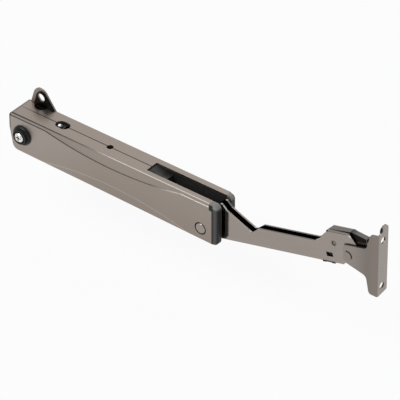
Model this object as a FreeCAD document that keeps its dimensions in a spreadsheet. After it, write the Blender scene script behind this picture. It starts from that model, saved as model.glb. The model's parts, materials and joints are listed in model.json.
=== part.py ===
import FreeCAD, Part
import Sketcher
import math
import os

Vector = FreeCAD.Vector

# Spring lid stay: a slim case of two sheet-steel half shells with black liners, a channel arm
# on a pin in the case's lower right corner, and a clip-on bracket for the lid.
# X runs along the case towards the arm and Z is up. Y = 0 is the face that lies on the
# cabinet side and the visible front is at Y = -case_width. The origin is on the axis of the
# lower fixing, in the cabinet-side face.

DRIVING_SIZES = {
    # Case shells
    "case_width": 18.0,
    "sheet": 1.0,
    "case_left": -10.6,
    "case_right": 146.0,
    "case_top": 13.15,
    "case_base": -12.85,
    "base_drop": 2.55,
    "edge_round": 0.9,
    "top_corner": 3.0,
    "base_corner": 4.5,
    "left_knee": 2.3,
    "left_slant": 2.8,
    "seam_gap": 0.1,
    "facet_depth": 0.65,
    "facet_step": 0.3,
    "facet_middle": 70.0,
    "facet_rise": 7.75,
    "facet_radius": 250.0,
    "facet_strip": 2.3,
    "low_facet_middle": 67.5,
    "low_facet_height": -7.15,
    "low_facet_radius": 240.0,
    "end_notch": 2.8,
    "end_notch_drop": 4.65,
    "end_notch_round": 0.9,
    # Slot, sight window and gauge hole in the top
    "slot_left": 93.1,
    "slot_half_width": 4.8,
    "window_middle": 24.6,
    "window_length": 9.9,
    "window_width": 7.2,
    "opening_depth": 4.0,
    "gauge_hole_place": 61.3,
    "gauge_hole_radius": 2.15,
    # Ear of the rear shell
    "ear_hole_place": 1.6,
    "ear_hole_drop": 12.3,
    "ear_hole_radius": 2.9,
    "ear_foot_left": -7.4,
    "ear_foot_right": 13.0,
    "ear_tip_place": -1.5,
    "ear_tip_height": 31.7,
    "ear_round": 5.5,
    "ear_liner": 1.0,
    "ear_plate_round": 3.75,
    "ear_plate_left": -4.0,
    "ear_plate_right": 11.4,
    "ear_plate_angle": 34.0,
    "ear_notch_radius": 4.7,
    "ear_trough_depth": 2.6,
    # Liners
    "liner_wall": 1.5,
    "liner_gap": 0.1,
    "liner_skin": 1.0,
    "cap_reach": 3.6,
    "cap_round": 3.0,
    "cap_edge": 1.5,
    "bay_left": 8.0,
    "ramp_drop": 3.55,
    "ramp_end": 105.4,
    "ramp_underside": 4.9,
    # Lower fixing
    "bush_radius": 4.6,
    "collar_radius": 6.5,
    "collar_flange": 1.7,
    "collar_tip_radius": 5.0,
    "collar_reach": 3.3,
    "collar_draft": 0.2,
    "collar_recess_radius": 3.9,
    "collar_recess_depth": 1.6,
    "screw_radius": 2.45,
    "screw_shank_radius": 2.1,
    "screw_head_radius": 3.1,
    "screw_head_height": 2.4,
    "screw_reach": 10.0,
    "screw_gap": 0.1,
    "screw_tip_radius": 1.1,
    "turned_chamfer": 0.7,
    "recess_arm": 2.1,
    "recess_width": 0.9,
    "recess_depth": 1.7,
    # Arm pivot
    "pivot_place": 137.0,
    "pivot_height": -7.3,
    "pivot_pin_radius": 3.0,
    "pin_head_radius": 3.5,
    "pin_ring": 0.7,
    "pin_chamfer": 0.3,
    "pin_sink": 0.2,
    "pin_rise": 0.15,
    "pin_gap": 0.05,
    "bush_wall": 0.9,
    "spacer_radius": 5.2,
    "side_gap": 0.1,
    # Lever arm, in its own frame from the pivot
    "arm_angle": 14.0,
    "arm_width": 6.0,
    "arm_sheet": 1.1,
    "hub_radius": 6.6,
    "back_angle": 31.0,
    "nose_reach": 21.6,
    "nose_round": 2.0,
    "crest_place": 18.6,
    "crest_height": 11.7,
    "notch_place": 34.4,
    "notch_height": 0.3,
    "notch_round": 2.2,
    "step_place": 41.0,
    "arm_top": 4.05,
    "arm_base": -8.5,
    "heel_place": 10.3,
    "fold_round": 0.9,
    "head_start": 82.0,
    "head_slope": 8.2,
    "head_slope_rise": 2.0,
    "head_shoulder": 5.6,
    "head_shoulder_rise": 4.9,
    "head_crown": 3.0,
    "head_crown_drop": 1.6,
    "head_top": 12.7,
    "head_left": 94.9,
    "head_right": 110.8,
    "head_round": 1.1,
    "hook_tip": 114.1,
    "hook_base": 5.6,
    "hook_nose": 1.2,
    "throat_round": 2.2,
    "throat_place": 103.4,
    "rivet_place": 107.0,
    "rivet_height": -0.6,
    "rivet_lobe": 5.0,
    "rivet_radius": 2.0,
    "rivet_head_radius": 3.0,
    "rivet_head_height": 0.6,
    "rivet_crown_radius": 2.5,
    "lock_place": 84.6,
    "lock_length": 9.8,
    "lock_window_place": 92.4,
    "lock_window_height": -3.1,
    "lock_window_length": 4.8,
    "lock_window_rise": 2.9,
    "cross_pin_place": 97.3,
    "cross_pin_height": 5.1,
    "cross_pin_radius": 1.5,
    "cross_pin_sink": 0.35,
    "lock_drop": 2.4,
    "lock_step": 0.3,
    "lock_foot": 2.45,
    # Cam between the arm's sides and the tongue that presses on it
    "arm_fold": 134.0,
    "tongue_travel": 6.0,
    "tongue_back": 7.6,
    "tongue_height": 7.0,
    "tongue_radius": 4.0,
    "tongue_width": 3.2,
    "cam_gap": 0.12,
    "cam_width": 3.5,
    "cam_lean": 0.8,
    "cam_foot": 2.2,
    "cam_heel": 1.0,
    "cam_rivet_radius": 1.0,
    "cam_rivet_head_radius": 1.7,
    "cam_rivet_head_height": 0.44,
    "upper_cam_rivet_place": 6.0,
    "upper_cam_rivet_height": 4.0,
    "lower_cam_rivet_place": 8.2,
    "lower_cam_rivet_height": -3.0,
    # Carriage, springs and rods
    "carriage_left": 76.9,
    "carriage_right": 88.6,
    "tongue_root": 2.5,
    "tongue_pin_left": 2.0,
    "tongue_pin_right": 3.0,
    "block_gap": 0.3,
    "block_top": 10.8,
    "block_base": -10.9,
    "abutment_left": 15.0,
    "abutment_right": 25.2,
    "spring_radius": 4.1,
    "spring_wire": 0.75,
    "spring_turns": 8.0,
    "spring_gap": 0.1,
    "upper_spring_height": 5.6,
    "lower_spring_height": -6.1,
    "rod_radius": 1.6,
    "rod_gap": 0.15,
    "rod_start": 18.0,
    "rod_end": 85.6,
    # Adjusting screw and its marker
    "adjuster_height": 9.0,
    "adjuster_radius": 1.45,
    "adjuster_head_radius": 2.1,
    "adjuster_head_left": -7.6,
    "adjuster_head_length": 3.0,
    "socket_radius": 1.26,
    "socket_depth": 2.1,
    "adjuster_tip": 24.6,
    "marker_place": 22.1,
    "marker_radius": 1.3,
    "marker_top": 12.5,
    "marker_dome": 0.78,
    "marker_collar_top": 11.7,
    # Clip adapter in the arm's head
    "adapter_width": 3.6,
    "adapter_sheet": 0.7,
    "adapter_lid_gap": 0.1,
    "adapter_left": 91.9,
    "adapter_crown": 94.6,
    "adapter_bend": 111.4,
    "adapter_right": 121.2,
    "adapter_left_drop": 1.7,
    "adapter_bend_rise": 0.6,
    "adapter_right_drop": 2.3,
    "adapter_tail_height": 6.9,
    "adapter_tail_place": 119.0,
    "adapter_tail_low": 3.8,
    "adapter_belly": 3.6,
    # Lid bracket, from the rivet
    "bracket_sheet": 1.2,
    "bracket_gap": 0.1,
    "bracket_depth": 21.8,
    "bracket_width": 9.1,
    "bracket_back": 3.3,
    "bracket_tail_top": 6.3,
    "bracket_tail_base": -5.0,
    "bracket_neck": 13.3,
    "bracket_neck_top": 10.7,
    "bracket_neck_base": -8.4,
    "bracket_neck_round": 3.6,
    "bracket_web_left": 15.6,
    "bracket_web_top": 21.6,
    "bracket_web_rise": 1.6,
    "bracket_web_base": -19.9,
    "bracket_corner": 2.2,
    "bracket_bend": 1.15,
    "bracket_bend_inner": 0.6,
    "bracket_lobe": 6.7,
    "bracket_lobe_round": 3.0,
    "bracket_lobe_foot": 1.2,
    "bracket_flange_top": 27.9,
    "bracket_flange_base": -18.6,
    "bracket_hole_radius": 2.2,
    "bracket_hole_pitch": 32.0,
    "bracket_low_hole": -13.6,
}

doc = FreeCAD.newDocument("lid_stay")
sheet = doc.addObject("Spreadsheet::Sheet", "sizes")
for row, (alias, value) in enumerate(DRIVING_SIZES.items(), start=1):
    sheet.set(f"A{row}", alias)
    sheet.set(f"B{row}", str(value))
    sheet.setAlias(f"B{row}", alias)
doc.recompute()


class Size:
    """A number together with the sheet expression that gives it."""

    def __init__(self, value, text):
        self.value = float(value)
        self.text = text

    def __add__(self, other):
        other = as_size(other)
        return Size(self.value + other.value, f"({self.text} + {other.text})")

    def __sub__(self, other):
        other = as_size(other)
        return Size(self.value - other.value, f"({self.text} - {other.text})")

    def __mul__(self, other):
        other = as_size(other)
        return Size(self.value * other.value, f"({self.text} * {other.text})")

    def __truediv__(self, other):
        other = as_size(other)
        return Size(self.value / other.value, f"({self.text} / {other.text})")

    def __neg__(self):
        return as_size(0) - self

    __radd__ = __add__
    __rmul__ = __mul__

    def __rsub__(self, other):
        return as_size(other) - self


def as_size(item):
    if isinstance(item, Size):
        return item
    return Size(item, f"({float(item)})")


def cosine(angle):
    return Size(math.cos(math.radians(angle.value)), f"cos({angle.text} * 1deg)")


def sine(angle):
    return Size(math.sin(math.radians(angle.value)), f"sin({angle.text} * 1deg)")


class SheetSizes:
    """Hands out the sheet's cells by name."""

    def __getattr__(self, alias):
        return Size(sheet.get(alias), f"sizes.{alias}")


S = SheetSizes()


# Helpers for bodies, sketches and their features

def new_body(label):
    body = doc.addObject("PartDesign::Body", label)
    body.Label = label
    return body


def new_sketch(body, name, role, shift=0):
    """A sketch on one of the body's own origin planes, moved along the plane's normal."""
    plane = next(item for item in body.Origin.OriginFeatures if item.Role == role)
    sketch = body.newObject("Sketcher::SketchObject", f"{body.Name}_{name}")
    sketch.AttachmentSupport = [(plane, "")]
    sketch.MapMode = "FlatFace"
    shift = as_size(shift)
    sketch.AttachmentOffset = FreeCAD.Placement(Vector(0, 0, shift.value), FreeCAD.Rotation())
    sketch.setExpression("AttachmentOffset.Base.z", shift.text)
    return sketch


def pin_point(sketch, curve, point, place):
    for kind, size in zip(("DistanceX", "DistanceY"), place):
        size = as_size(size)
        index = sketch.addConstraint(Sketcher.Constraint(kind, -1, 1, curve, point, size.value))
        sketch.setExpression(f"Constraints[{index}]", size.text)


def add_outline(sketch, corners):
    """A closed run of straight edges whose corners follow the sheet."""
    spots = [Vector(as_size(x).value, as_size(y).value, 0) for x, y in corners]
    curves = []
    for start, stop in zip(spots, spots[1:] + spots[:1]):
        curves.append(sketch.addGeometry(Part.LineSegment(start, stop)))
    for curve, following in zip(curves, curves[1:] + curves[:1]):
        sketch.addConstraint(Sketcher.Constraint("Coincident", curve, 2, following, 1))
    for curve, corner in zip(curves, corners):
        pin_point(sketch, curve, 1, corner)


def add_circle(sketch, x, y, radius):
    x, y, radius = as_size(x), as_size(y), as_size(radius)
    circle = Part.Circle(Vector(x.value, y.value, 0), Vector(0, 0, 1), radius.value)
    curve = sketch.addGeometry(circle)
    pin_point(sketch, curve, 3, (x, y))
    index = sketch.addConstraint(Sketcher.Constraint("Radius", curve, radius.value))
    sketch.setExpression(f"Constraints[{index}]", radius.text)


def check_state(feature):
    if {"Invalid", "Error"} & set(feature.State):
        raise ValueError(f"{feature.Label}: {feature.State}")


def add_feature(body, kind, name, sketch, length=None, turned=False):
    """A pad or pocket of a sketch, checked to have changed the solid."""
    before = body.Shape.Volume if body.Tip else 0.0
    feature = body.newObject(f"PartDesign::{kind}", f"{body.Name}_{name}")
    feature.Profile = sketch
    if length is None:
        feature.Type = "ThroughAll"
        feature.SideType = "Symmetric"
    else:
        length = as_size(length)
        feature.Length = length.value
        feature.setExpression("Length", length.text)
    feature.Reversed = turned
    doc.recompute()
    check_state(feature)
    change = body.Shape.Volume - before
    if (kind == "Pad") != (change > 0) or abs(change) < 1e-6:
        raise ValueError(f"{body.Name}: {name} changed the volume by {change}")
    return feature


def pad_outline(body, name, corners, near, length, role="XZ_Plane"):
    """Material between the depth near and the depth near + length, towards the front."""
    sketch = new_sketch(body, f"{name}_sketch", role, near)
    add_outline(sketch, corners)
    return add_feature(body, "Pad", name, sketch, length)


def cut_outline(body, name, corners, near, length, role="XZ_Plane"):
    sketch = new_sketch(body, f"{name}_sketch", role, near)
    add_outline(sketch, corners)
    return add_feature(body, "Pocket", name, sketch, length, turned=True)


def pad_circle(body, name, place, radius, near, length, role="XZ_Plane"):
    sketch = new_sketch(body, f"{name}_sketch", role, near)
    add_circle(sketch, place[0], place[1], radius)
    return add_feature(body, "Pad", name, sketch, length)


def cut_circle(body, name, place, radius, near=0, length=None, role="XZ_Plane"):
    sketch = new_sketch(body, f"{name}_sketch", role, near)
    add_circle(sketch, place[0], place[1], radius)
    return add_feature(body, "Pocket", name, sketch, length, turned=length is not None)


def revolve(body, name, corners):
    """A full turn of a profile of (distance from the axis, Y) about the body's Y axis."""
    sketch = new_sketch(body, f"{name}_sketch", "XY_Plane")
    add_outline(sketch, corners)
    feature = body.newObject("PartDesign::Revolution", f"{body.Name}_{name}")
    feature.Profile = sketch
    feature.ReferenceAxis = (sketch, ["V_Axis"])
    feature.Angle = 360
    doc.recompute()
    check_state(feature)
    return feature


def edges_at(shape, places):
    """Names of the straight edges along Y that stand at the given (x, z) places."""
    names = []
    for x, z in places:
        for number, edge in enumerate(shape.Edges, start=1):
            ends = [vertex.Point for vertex in edge.Vertexes]
            if len(ends) != 2 or abs(ends[0].y - ends[1].y) < 1e-6:
                continue
            if all(math.hypot(end.x - as_size(x).value, end.z - as_size(z).value) < 1e-3 for end in ends):
                names.append(f"Edge{number}")
    return sorted(set(names))


def edges_on(shape, wanted):
    """Names of the edges whose every vertex and middle point are wanted."""
    names = []
    for number, edge in enumerate(shape.Edges, start=1):
        points = [vertex.Point for vertex in edge.Vertexes]
        middle = edge.valueAt((edge.FirstParameter + edge.LastParameter) / 2)
        if all(wanted(point) for point in points + [middle]):
            names.append(f"Edge{number}")
    return names


def finish_edges(body, name, edges, radius):
    if not edges:
        raise ValueError(f"{body.Name}: {name} found no edge")
    base = body.Tip
    radius = as_size(radius)
    feature = body.newObject("PartDesign::Fillet", f"{body.Name}_{name}")
    feature.Base = (base, edges)
    feature.Radius = radius.value
    feature.setExpression("Radius", radius.text)
    doc.recompute()
    check_state(feature)
    return feature


def round_corners(body, name, places, radius):
    return finish_edges(body, name, edges_at(body.Tip.Shape, places), radius)


def set_place(body, x=0, z=0, angle=None):
    """Puts a body's own origin at (x, z), turned up by an angle about the Y axis."""
    x, z = as_size(x), as_size(z)
    turn = 0.0 if angle is None else angle.value
    rotation = FreeCAD.Rotation(Vector(0, -1, 0), turn)
    body.Placement = FreeCAD.Placement(Vector(x.value, 0, z.value), rotation)
    body.setExpression("Placement.Base.x", x.text)
    body.setExpression("Placement.Base.z", z.text)
    if angle is not None:
        body.setExpression("Placement.Rotation.Angle", f"{angle.text} * 1deg")
    doc.recompute()


# Places that several pieces share

FRONT = S.case_width
MIDDLE = S.case_width / 2
HALF = MIDDLE - S.seam_gap / 2
FRONT_START = MIDDLE + S.seam_gap / 2
FRONT_PANEL = S.sheet + S.facet_depth
CAP_END = S.case_right + S.cap_reach
BASE_SLOPE = S.base_drop / (S.case_right - S.case_left)
NOTCH_LEFT = S.case_right - S.end_notch
NOTCH_BASE = S.case_top - S.end_notch_drop
PIVOT = (S.pivot_place, S.pivot_height)
EAR_HOLE_HEIGHT = S.ear_tip_height - S.ear_hole_drop
EAR_HOLE = (S.ear_hole_place, EAR_HOLE_HEIGHT)
# A cutter runs past what it cuts by this share, and clears a flush face by a hair
OVERRUN = 1.5
HAIR = S.sheet / 100
# The ramp's curve, as (along, down) shares of its drop
RAMP = ((0, 0.25), (0.6, 0.5), (1.5, 0.85), (2.2, 1))


def base_height(x):
    """Height of the case's slightly falling underside at a place along it."""
    return S.case_base - (as_size(x) - S.case_left) * BASE_SLOPE


def case_outline(inset, right):
    """Side view of the case, drawn in by an inset: top left, then clockwise."""
    left = S.case_left + inset
    return [
        (left, S.case_top - inset),
        (right, S.case_top - inset),
        (right, base_height(right) + inset),
        (S.case_left + S.left_slant + inset, base_height(S.case_left) + inset),
        (left, S.left_knee),
    ]


# Case shells

def add_window(sketch, half):
    """A slot with round ends: two lines joined by two half circles."""
    radius = S.window_width / 2
    left, right = S.window_middle - half, S.window_middle + half
    near, far = radius - MIDDLE, -MIDDLE - radius
    top = sketch.addGeometry(Part.LineSegment(Vector(left.value, near.value, 0),
                                              Vector(right.value, near.value, 0)))
    low = sketch.addGeometry(Part.LineSegment(Vector(right.value, far.value, 0),
                                              Vector(left.value, far.value, 0)))
    ends = []
    for x, start in ((right, -math.pi / 2), (left, math.pi / 2)):
        circle = Part.Circle(Vector(x.value, -MIDDLE.value, 0), Vector(0, 0, 1), radius.value)
        ends.append(sketch.addGeometry(Part.ArcOfCircle(circle, start, start + math.pi)))
    meetings = ((top, 2, ends[0], 2), (ends[0], 1, low, 1), (low, 2, ends[1], 2), (ends[1], 1, top, 1))
    for meeting in meetings:
        sketch.addConstraint(Sketcher.Constraint("Coincident", *meeting))
    for curve, point, place in ((top, 1, (left, near)), (top, 2, (right, near)),
                                (low, 1, (right, far)), (low, 2, (left, far))):
        pin_point(sketch, curve, point, place)
    for end, x in zip(ends, (right, left)):
        index = sketch.addConstraint(Sketcher.Constraint("DistanceX", -1, 1, end, 3, x.value))
        sketch.setExpression(f"Constraints[{index}]", x.text)


def cut_down(body, name, draw, low, depth):
    """A pocket through the top: its sketch lies level at the height low."""
    sketch = new_sketch(body, f"{name}_sketch", "XY_Plane", low)
    draw(sketch)
    add_feature(body, "Pocket", name, sketch, depth, turned=True)


def cut_top_openings(body, low, depth, past):
    """Sight window, gauge hole and, on the shells, the arm's slot, all on the seam."""
    half = (S.window_length - S.window_width) / 2
    cut_down(body, "window", lambda sketch: add_window(sketch, half), low, depth)
    cut_down(body, "gauge_hole", lambda sketch: add_circle(
        sketch, S.gauge_hole_place, -MIDDLE, S.gauge_hole_radius), low, depth)
    if past is None:
        return
    near, far = S.slot_half_width - MIDDLE, -MIDDLE - S.slot_half_width
    slot = [(S.slot_left, near), (past, near), (past, far), (S.slot_left, far)]
    cut_down(body, "slot", lambda sketch: add_outline(sketch, slot), low, depth)


def make_shell(label, near, panel):
    """One drawn half shell: a panel with a wall along its top, left end and underside."""
    body = new_body(label)
    outline = case_outline(as_size(0), S.case_right)
    pad_outline(body, "block", outline, near, HALF)
    round_corners(body, "top_corner", [outline[0]], S.top_corner)
    round_corners(body, "base_corner", [outline[3]], S.base_corner)
    past = S.case_right + S.sheet
    inner = case_outline(S.sheet, past)
    start = MIDDLE if near.value > 0 else panel
    cut_outline(body, "hollow", inner, start, MIDDLE - panel)
    round_corners(body, "inner_top_corner", [inner[0]], S.top_corner - S.sheet)
    round_corners(body, "inner_base_corner", [inner[3]], S.base_corner - S.sheet)
    face_at = -FRONT.value if near.value > 0 else 0.0
    rim = []
    for number, edge in enumerate(body.Tip.Shape.Edges, start=1):
        box = edge.BoundBox
        on_face = abs(box.YMin - face_at) < 1e-4 and abs(box.YMax - face_at) < 1e-4
        if on_face and box.XMin < S.case_right.value - 1e-3:
            rim.append(f"Edge{number}")
    finish_edges(body, "rolled_edge", rim, S.edge_round if near.value > 0 else S.edge_round / 2)
    cut_top_openings(body, S.case_top - S.sheet * OVERRUN, S.sheet * OVERRUN * 2, past)
    channel = S.adjuster_head_radius + S.side_gap
    cut_circle(body, "adjuster_hole", (-MIDDLE, S.adjuster_height), channel,
               S.case_left - S.sheet, S.sheet + S.top_corner, "YZ_Plane")
    return body


def cut_facet(body, name, middle, height, radius, outward):
    """A shallow cone cut whose inner edge is a wide arc on the front panel."""
    sketch = body.newObject("Sketcher::SketchObject", f"{body.Name}_{name}_sketch")
    plane = next(item for item in body.Origin.OriginFeatures if item.Role == "XY_Plane")
    sketch.AttachmentSupport = [(plane, "")]
    sketch.MapMode = "FlatFace"
    centre = height + radius * outward
    sketch.AttachmentOffset = FreeCAD.Placement(Vector(middle.value, 0, centre.value),
                                                FreeCAD.Rotation())
    sketch.setExpression("AttachmentOffset.Base.x", middle.text)
    sketch.setExpression("AttachmentOffset.Base.z", centre.text)
    inner = radius - S.facet_rise * OVERRUN
    deepest = S.facet_step + (S.facet_depth - S.facet_step) * OVERRUN
    add_outline(sketch, [(radius, S.facet_step - FRONT), (inner, deepest - FRONT),
                         (inner, -FRONT - S.sheet), (radius, -FRONT - S.sheet)])
    feature = body.newObject("PartDesign::Groove", f"{body.Name}_{name}")
    feature.Profile = sketch
    feature.ReferenceAxis = (sketch, ["V_Axis"])
    feature.Angle = 360
    doc.recompute()
    check_state(feature)


def notch_end(body, near, length):
    """Takes a shell's upper right corner back, for the cap to fill."""
    past = S.case_right + S.sheet
    cut_outline(body, "end_notch", [
        (NOTCH_LEFT, S.case_top + S.sheet), (past, S.case_top + S.sheet),
        (past, NOTCH_BASE), (NOTCH_LEFT, NOTCH_BASE),
    ], near, length)
    round_corners(body, "notch_corner", [(NOTCH_LEFT, NOTCH_BASE)], S.end_notch_round)


front_shell = make_shell("front_case_shell", FRONT_START, FRONT_PANEL)
cut_facet(front_shell, "upper_facet", S.facet_middle, S.case_top - S.facet_rise, S.facet_radius, 1)
cut_facet(front_shell, "lower_facet", S.low_facet_middle, S.low_facet_height, S.low_facet_radius, -1)
strip = new_sketch(front_shell, "strip_sketch", "YZ_Plane", S.case_left - S.sheet)
strip_base = S.case_top - S.facet_strip
add_outline(strip, [(S.facet_step - FRONT, strip_base), (S.facet_depth - FRONT, S.case_top + HAIR),
                    (-FRONT - S.sheet, S.case_top + HAIR), (-FRONT - S.sheet, strip_base)])
add_feature(front_shell, "Pocket", "upper_strip", strip, S.case_right - S.case_left + S.sheet * 2,
            turned=True)
notch_end(front_shell, MIDDLE, FRONT)
cut_circle(front_shell, "pivot_hole", PIVOT, S.pin_head_radius + S.pin_ring)
cut_circle(front_shell, "fixing_hole", (0, 0), S.bush_radius + S.screw_gap)

rear_shell = make_shell("rear_case_shell", as_size(0), S.sheet)
cut_circle(rear_shell, "pivot_hole", PIVOT, S.pivot_pin_radius + S.pin_gap)
cut_circle(rear_shell, "fixing_hole", (0, 0), S.screw_radius + S.screw_gap)


cut_down(rear_shell, "ear_notch", lambda sketch: add_circle(
    sketch, S.ear_hole_place, -S.sheet, S.ear_notch_radius), S.case_top - S.sheet, S.sheet * 2)
ear_tip = (S.ear_tip_place, S.ear_tip_height)
ear_foot = S.case_top - S.sheet
pad_outline(rear_shell, "ear", [
    (S.ear_foot_left, ear_foot), ear_tip, (S.ear_foot_right, ear_foot),
], as_size(0), S.sheet)
round_corners(rear_shell, "ear_crown", [ear_tip], S.ear_round)
cut_circle(rear_shell, "ear_hole", EAR_HOLE, S.ear_hole_radius)


# Liners

LINER_INSET = S.sheet + S.liner_gap
EAR_ROOT_LEFT = S.ear_hole_place - S.ear_notch_radius + S.block_gap
EAR_ROOT_RIGHT = S.ear_hole_place + S.ear_notch_radius - S.block_gap
BAY_INSET = LINER_INSET + S.liner_skin


def bay_outline():
    """Spring bay: from the left block to the ramp, inside the liner's skin."""
    right = S.slot_left - S.liner_skin
    return [
        (S.bay_left, S.case_top - BAY_INSET),
        (right, S.case_top - BAY_INSET),
        (right, base_height(right) + BAY_INSET),
        (S.bay_left, base_height(S.bay_left) + BAY_INSET),
    ]


def arm_bay_outline():
    """Room for the arm. It leaves the ramp and the bridge over the tongue standing."""
    past = CAP_END + S.sheet
    above = S.case_top + S.sheet
    below = base_height(past) - S.sheet
    left = S.slot_left - S.liner_skin * 2
    ramp = [(S.slot_left + S.ramp_drop * along, S.case_top - S.ramp_drop * down) for along, down in RAMP]
    return [(S.slot_left, above)] + ramp + [
        (S.ramp_end, S.case_top - S.ramp_drop),
        (S.ramp_end, S.ramp_underside),
        (left, S.ramp_underside),
        (left, base_height(left) + BAY_INSET),
        (S.ramp_end, base_height(S.ramp_end) + BAY_INSET),
        (S.ramp_end, below),
        (past, below),
        (past, above),
    ]


def ease_cap(body, face):
    """Rounds the cap's outer edges, apart from those that meet the shell."""
    def on_face(point):
        return abs(point.y + face.value) < 1e-3 and point.x > S.case_right.value - S.end_notch.value

    def beside_shell(point):
        return point.x < S.case_right.value + S.liner_gap.value + 1e-3

    shape = body.Tip.Shape
    inner = set(edges_on(shape, lambda point: on_face(point) and beside_shell(point)))
    finish_edges(body, "cap_edge", sorted(set(edges_on(shape, on_face)) - inner), S.cap_edge)


def make_liner(label, near, length, cap_near, bay_near, bay_depth, arm_near):
    """One moulded half liner with its end cap."""
    body = new_body(label)
    outline = case_outline(LINER_INSET, S.case_right)
    pad_outline(body, "block", outline, near, length)
    round_corners(body, "top_corner", [outline[0]], S.top_corner - S.sheet)
    round_corners(body, "base_corner", [outline[3]], S.base_corner - S.sheet)
    start = S.case_right + S.liner_gap
    end = [(CAP_END, S.case_top), (CAP_END, base_height(CAP_END)), (start, base_height(start))]
    step = (NOTCH_LEFT + S.liner_gap, NOTCH_BASE + S.liner_gap)
    fills_notch = cap_near.value > 0
    if fills_notch:
        cap = end + [(start, step[1]), step, (step[0], S.case_top)]
    else:
        cap = end + [(start, S.case_top)]
    pad_outline(body, "root", [
        (S.case_right - S.liner_skin, S.case_top - LINER_INSET),
        (S.case_right + S.liner_skin, S.case_top - LINER_INSET),
        (S.case_right + S.liner_skin, base_height(S.case_right) + LINER_INSET),
        (S.case_right - S.liner_skin, base_height(S.case_right) + LINER_INSET),
    ], near, length)
    pad_outline(body, "cap", cap, cap_near, HALF)
    round_corners(body, "cap_corners", cap[:2], S.cap_round)
    if fills_notch:
        round_corners(body, "step_corner", [step], S.end_notch_round - S.liner_gap)
    ease_cap(body, FRONT if fills_notch else as_size(0))
    cut_outline(body, "spring_bay", bay_outline(), bay_near, bay_depth)
    cut_outline(body, "arm_bay", arm_bay_outline(), arm_near, S.slot_half_width)
    cut_circle(body, "fixing_hole", (0, 0), S.bush_radius + S.screw_gap)
    cut_top_openings(body, S.case_top - S.opening_depth, S.opening_depth + S.sheet, None)
    half = S.adjuster_head_radius + S.side_gap
    top, low = S.adjuster_height + half, S.adjuster_height - half
    channel = [(S.case_left, top), (S.bay_left + S.liner_skin, top),
               (S.bay_left + S.liner_skin, low), (S.case_left, low)]
    channel_near = MIDDLE if near.value > MIDDLE.value else MIDDLE - half
    cut_outline(body, "adjuster_channel", channel, channel_near, half)
    return body


FRONT_DEPTH = FRONT - FRONT_PANEL - S.liner_gap - FRONT_START
REAR_DEPTH = HALF - LINER_INSET
front_liner = make_liner("front_liner", FRONT_START, FRONT_DEPTH, FRONT_START, MIDDLE,
                         FRONT_DEPTH - S.liner_wall, MIDDLE)
ring_start = FRONT - FRONT_PANEL - S.liner_gap * 2
pad_circle(front_liner, "pin_ring", PIVOT, S.pin_head_radius + S.pin_ring - S.liner_gap,
           ring_start, FRONT - ring_start)
cut_circle(front_liner, "pivot_hole", PIVOT, S.pin_head_radius + S.pin_gap)

rear_liner = make_liner("rear_liner", LINER_INSET, REAR_DEPTH, as_size(0),
                        LINER_INSET + S.liner_wall, REAR_DEPTH - S.liner_wall + S.seam_gap,
                        MIDDLE - S.slot_half_width)
cut_circle(rear_liner, "pivot_hole", PIVOT, S.pivot_pin_radius + S.pin_gap)
trough_base = S.case_top - LINER_INSET - S.ear_trough_depth
cut_down(rear_liner, "ear_trough", lambda sketch: add_circle(
    sketch, S.ear_hole_place, -S.sheet, S.ear_notch_radius - S.liner_gap), trough_base, S.case_top)
plate_base = S.case_top + S.liner_gap
lean = (cosine(S.ear_plate_angle), sine(S.ear_plate_angle))
pad_outline(rear_liner, "ear_root", [
    (S.ear_plate_left, plate_base), (S.ear_plate_left, plate_base + S.sheet),
    (S.ear_plate_right - S.sheet, plate_base + S.sheet), (S.ear_plate_right, plate_base),
    (EAR_ROOT_RIGHT, plate_base), (EAR_ROOT_RIGHT, trough_base),
    (EAR_ROOT_LEFT, trough_base), (EAR_ROOT_LEFT, plate_base),
], LINER_INSET, S.ear_liner)
pad_outline(rear_liner, "ear_plate", [
    (S.ear_plate_left, plate_base),
    (S.ear_hole_place - S.ear_plate_round, EAR_HOLE_HEIGHT),
    (S.ear_hole_place + S.ear_plate_round * lean[0], EAR_HOLE_HEIGHT + S.ear_plate_round * lean[1]),
    (S.ear_plate_right, plate_base),
], LINER_INSET, S.ear_liner)
pad_circle(rear_liner, "ear_ring", EAR_HOLE, S.ear_plate_round, LINER_INSET, S.ear_liner)
cut_circle(rear_liner, "ear_hole", EAR_HOLE, S.ear_hole_radius)


# Lower fixing

bush = new_body("lower_fixing_bush")
collar_start = FRONT + S.pin_gap
recess_start = FRONT + S.collar_reach - S.collar_recess_depth
revolve(bush, "turned", [
    (S.screw_radius + S.screw_gap, -LINER_INSET),
    (S.bush_radius, -LINER_INSET),
    (S.bush_radius, -collar_start),
    (S.collar_radius, -collar_start),
    (S.collar_radius, -FRONT - S.collar_flange + S.turned_chamfer),
    (S.collar_radius - S.turned_chamfer, -FRONT - S.collar_flange),
    (S.collar_tip_radius, -FRONT - S.collar_flange),
    (S.collar_tip_radius - S.collar_draft, -FRONT - S.collar_reach),
    (S.collar_recess_radius, -FRONT - S.collar_reach),
    (S.collar_recess_radius, -recess_start),
    (S.screw_radius + S.screw_gap, -recess_start),
])

screw = new_body("lower_fixing_screw")
head_start = recess_start + S.pin_gap
head_end = head_start + S.screw_head_height
revolve(screw, "turned", [
    (0, S.screw_reach),
    (S.screw_tip_radius, S.screw_reach),
    (S.screw_radius, S.screw_reach - S.screw_radius),
    (S.screw_radius, 0),
    (S.screw_shank_radius, 0),
    (S.screw_shank_radius, -head_start),
    (S.screw_head_radius, -head_start),
    (S.screw_head_radius, -head_end + S.turned_chamfer),
    (S.screw_head_radius - S.turned_chamfer, -head_end),
    (0, -head_end),
])
arm, half = S.recess_arm, S.recess_width / 2
cut_outline(screw, "cross_recess", [
    (-arm, -half), (-arm, half), (-half, half), (-half, arm), (half, arm), (half, half),
    (arm, half), (arm, -half), (half, -half), (half, -arm), (-half, -arm), (-half, -half),
], head_end - S.recess_depth, S.screw_head_height)


# Arm pivot

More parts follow.
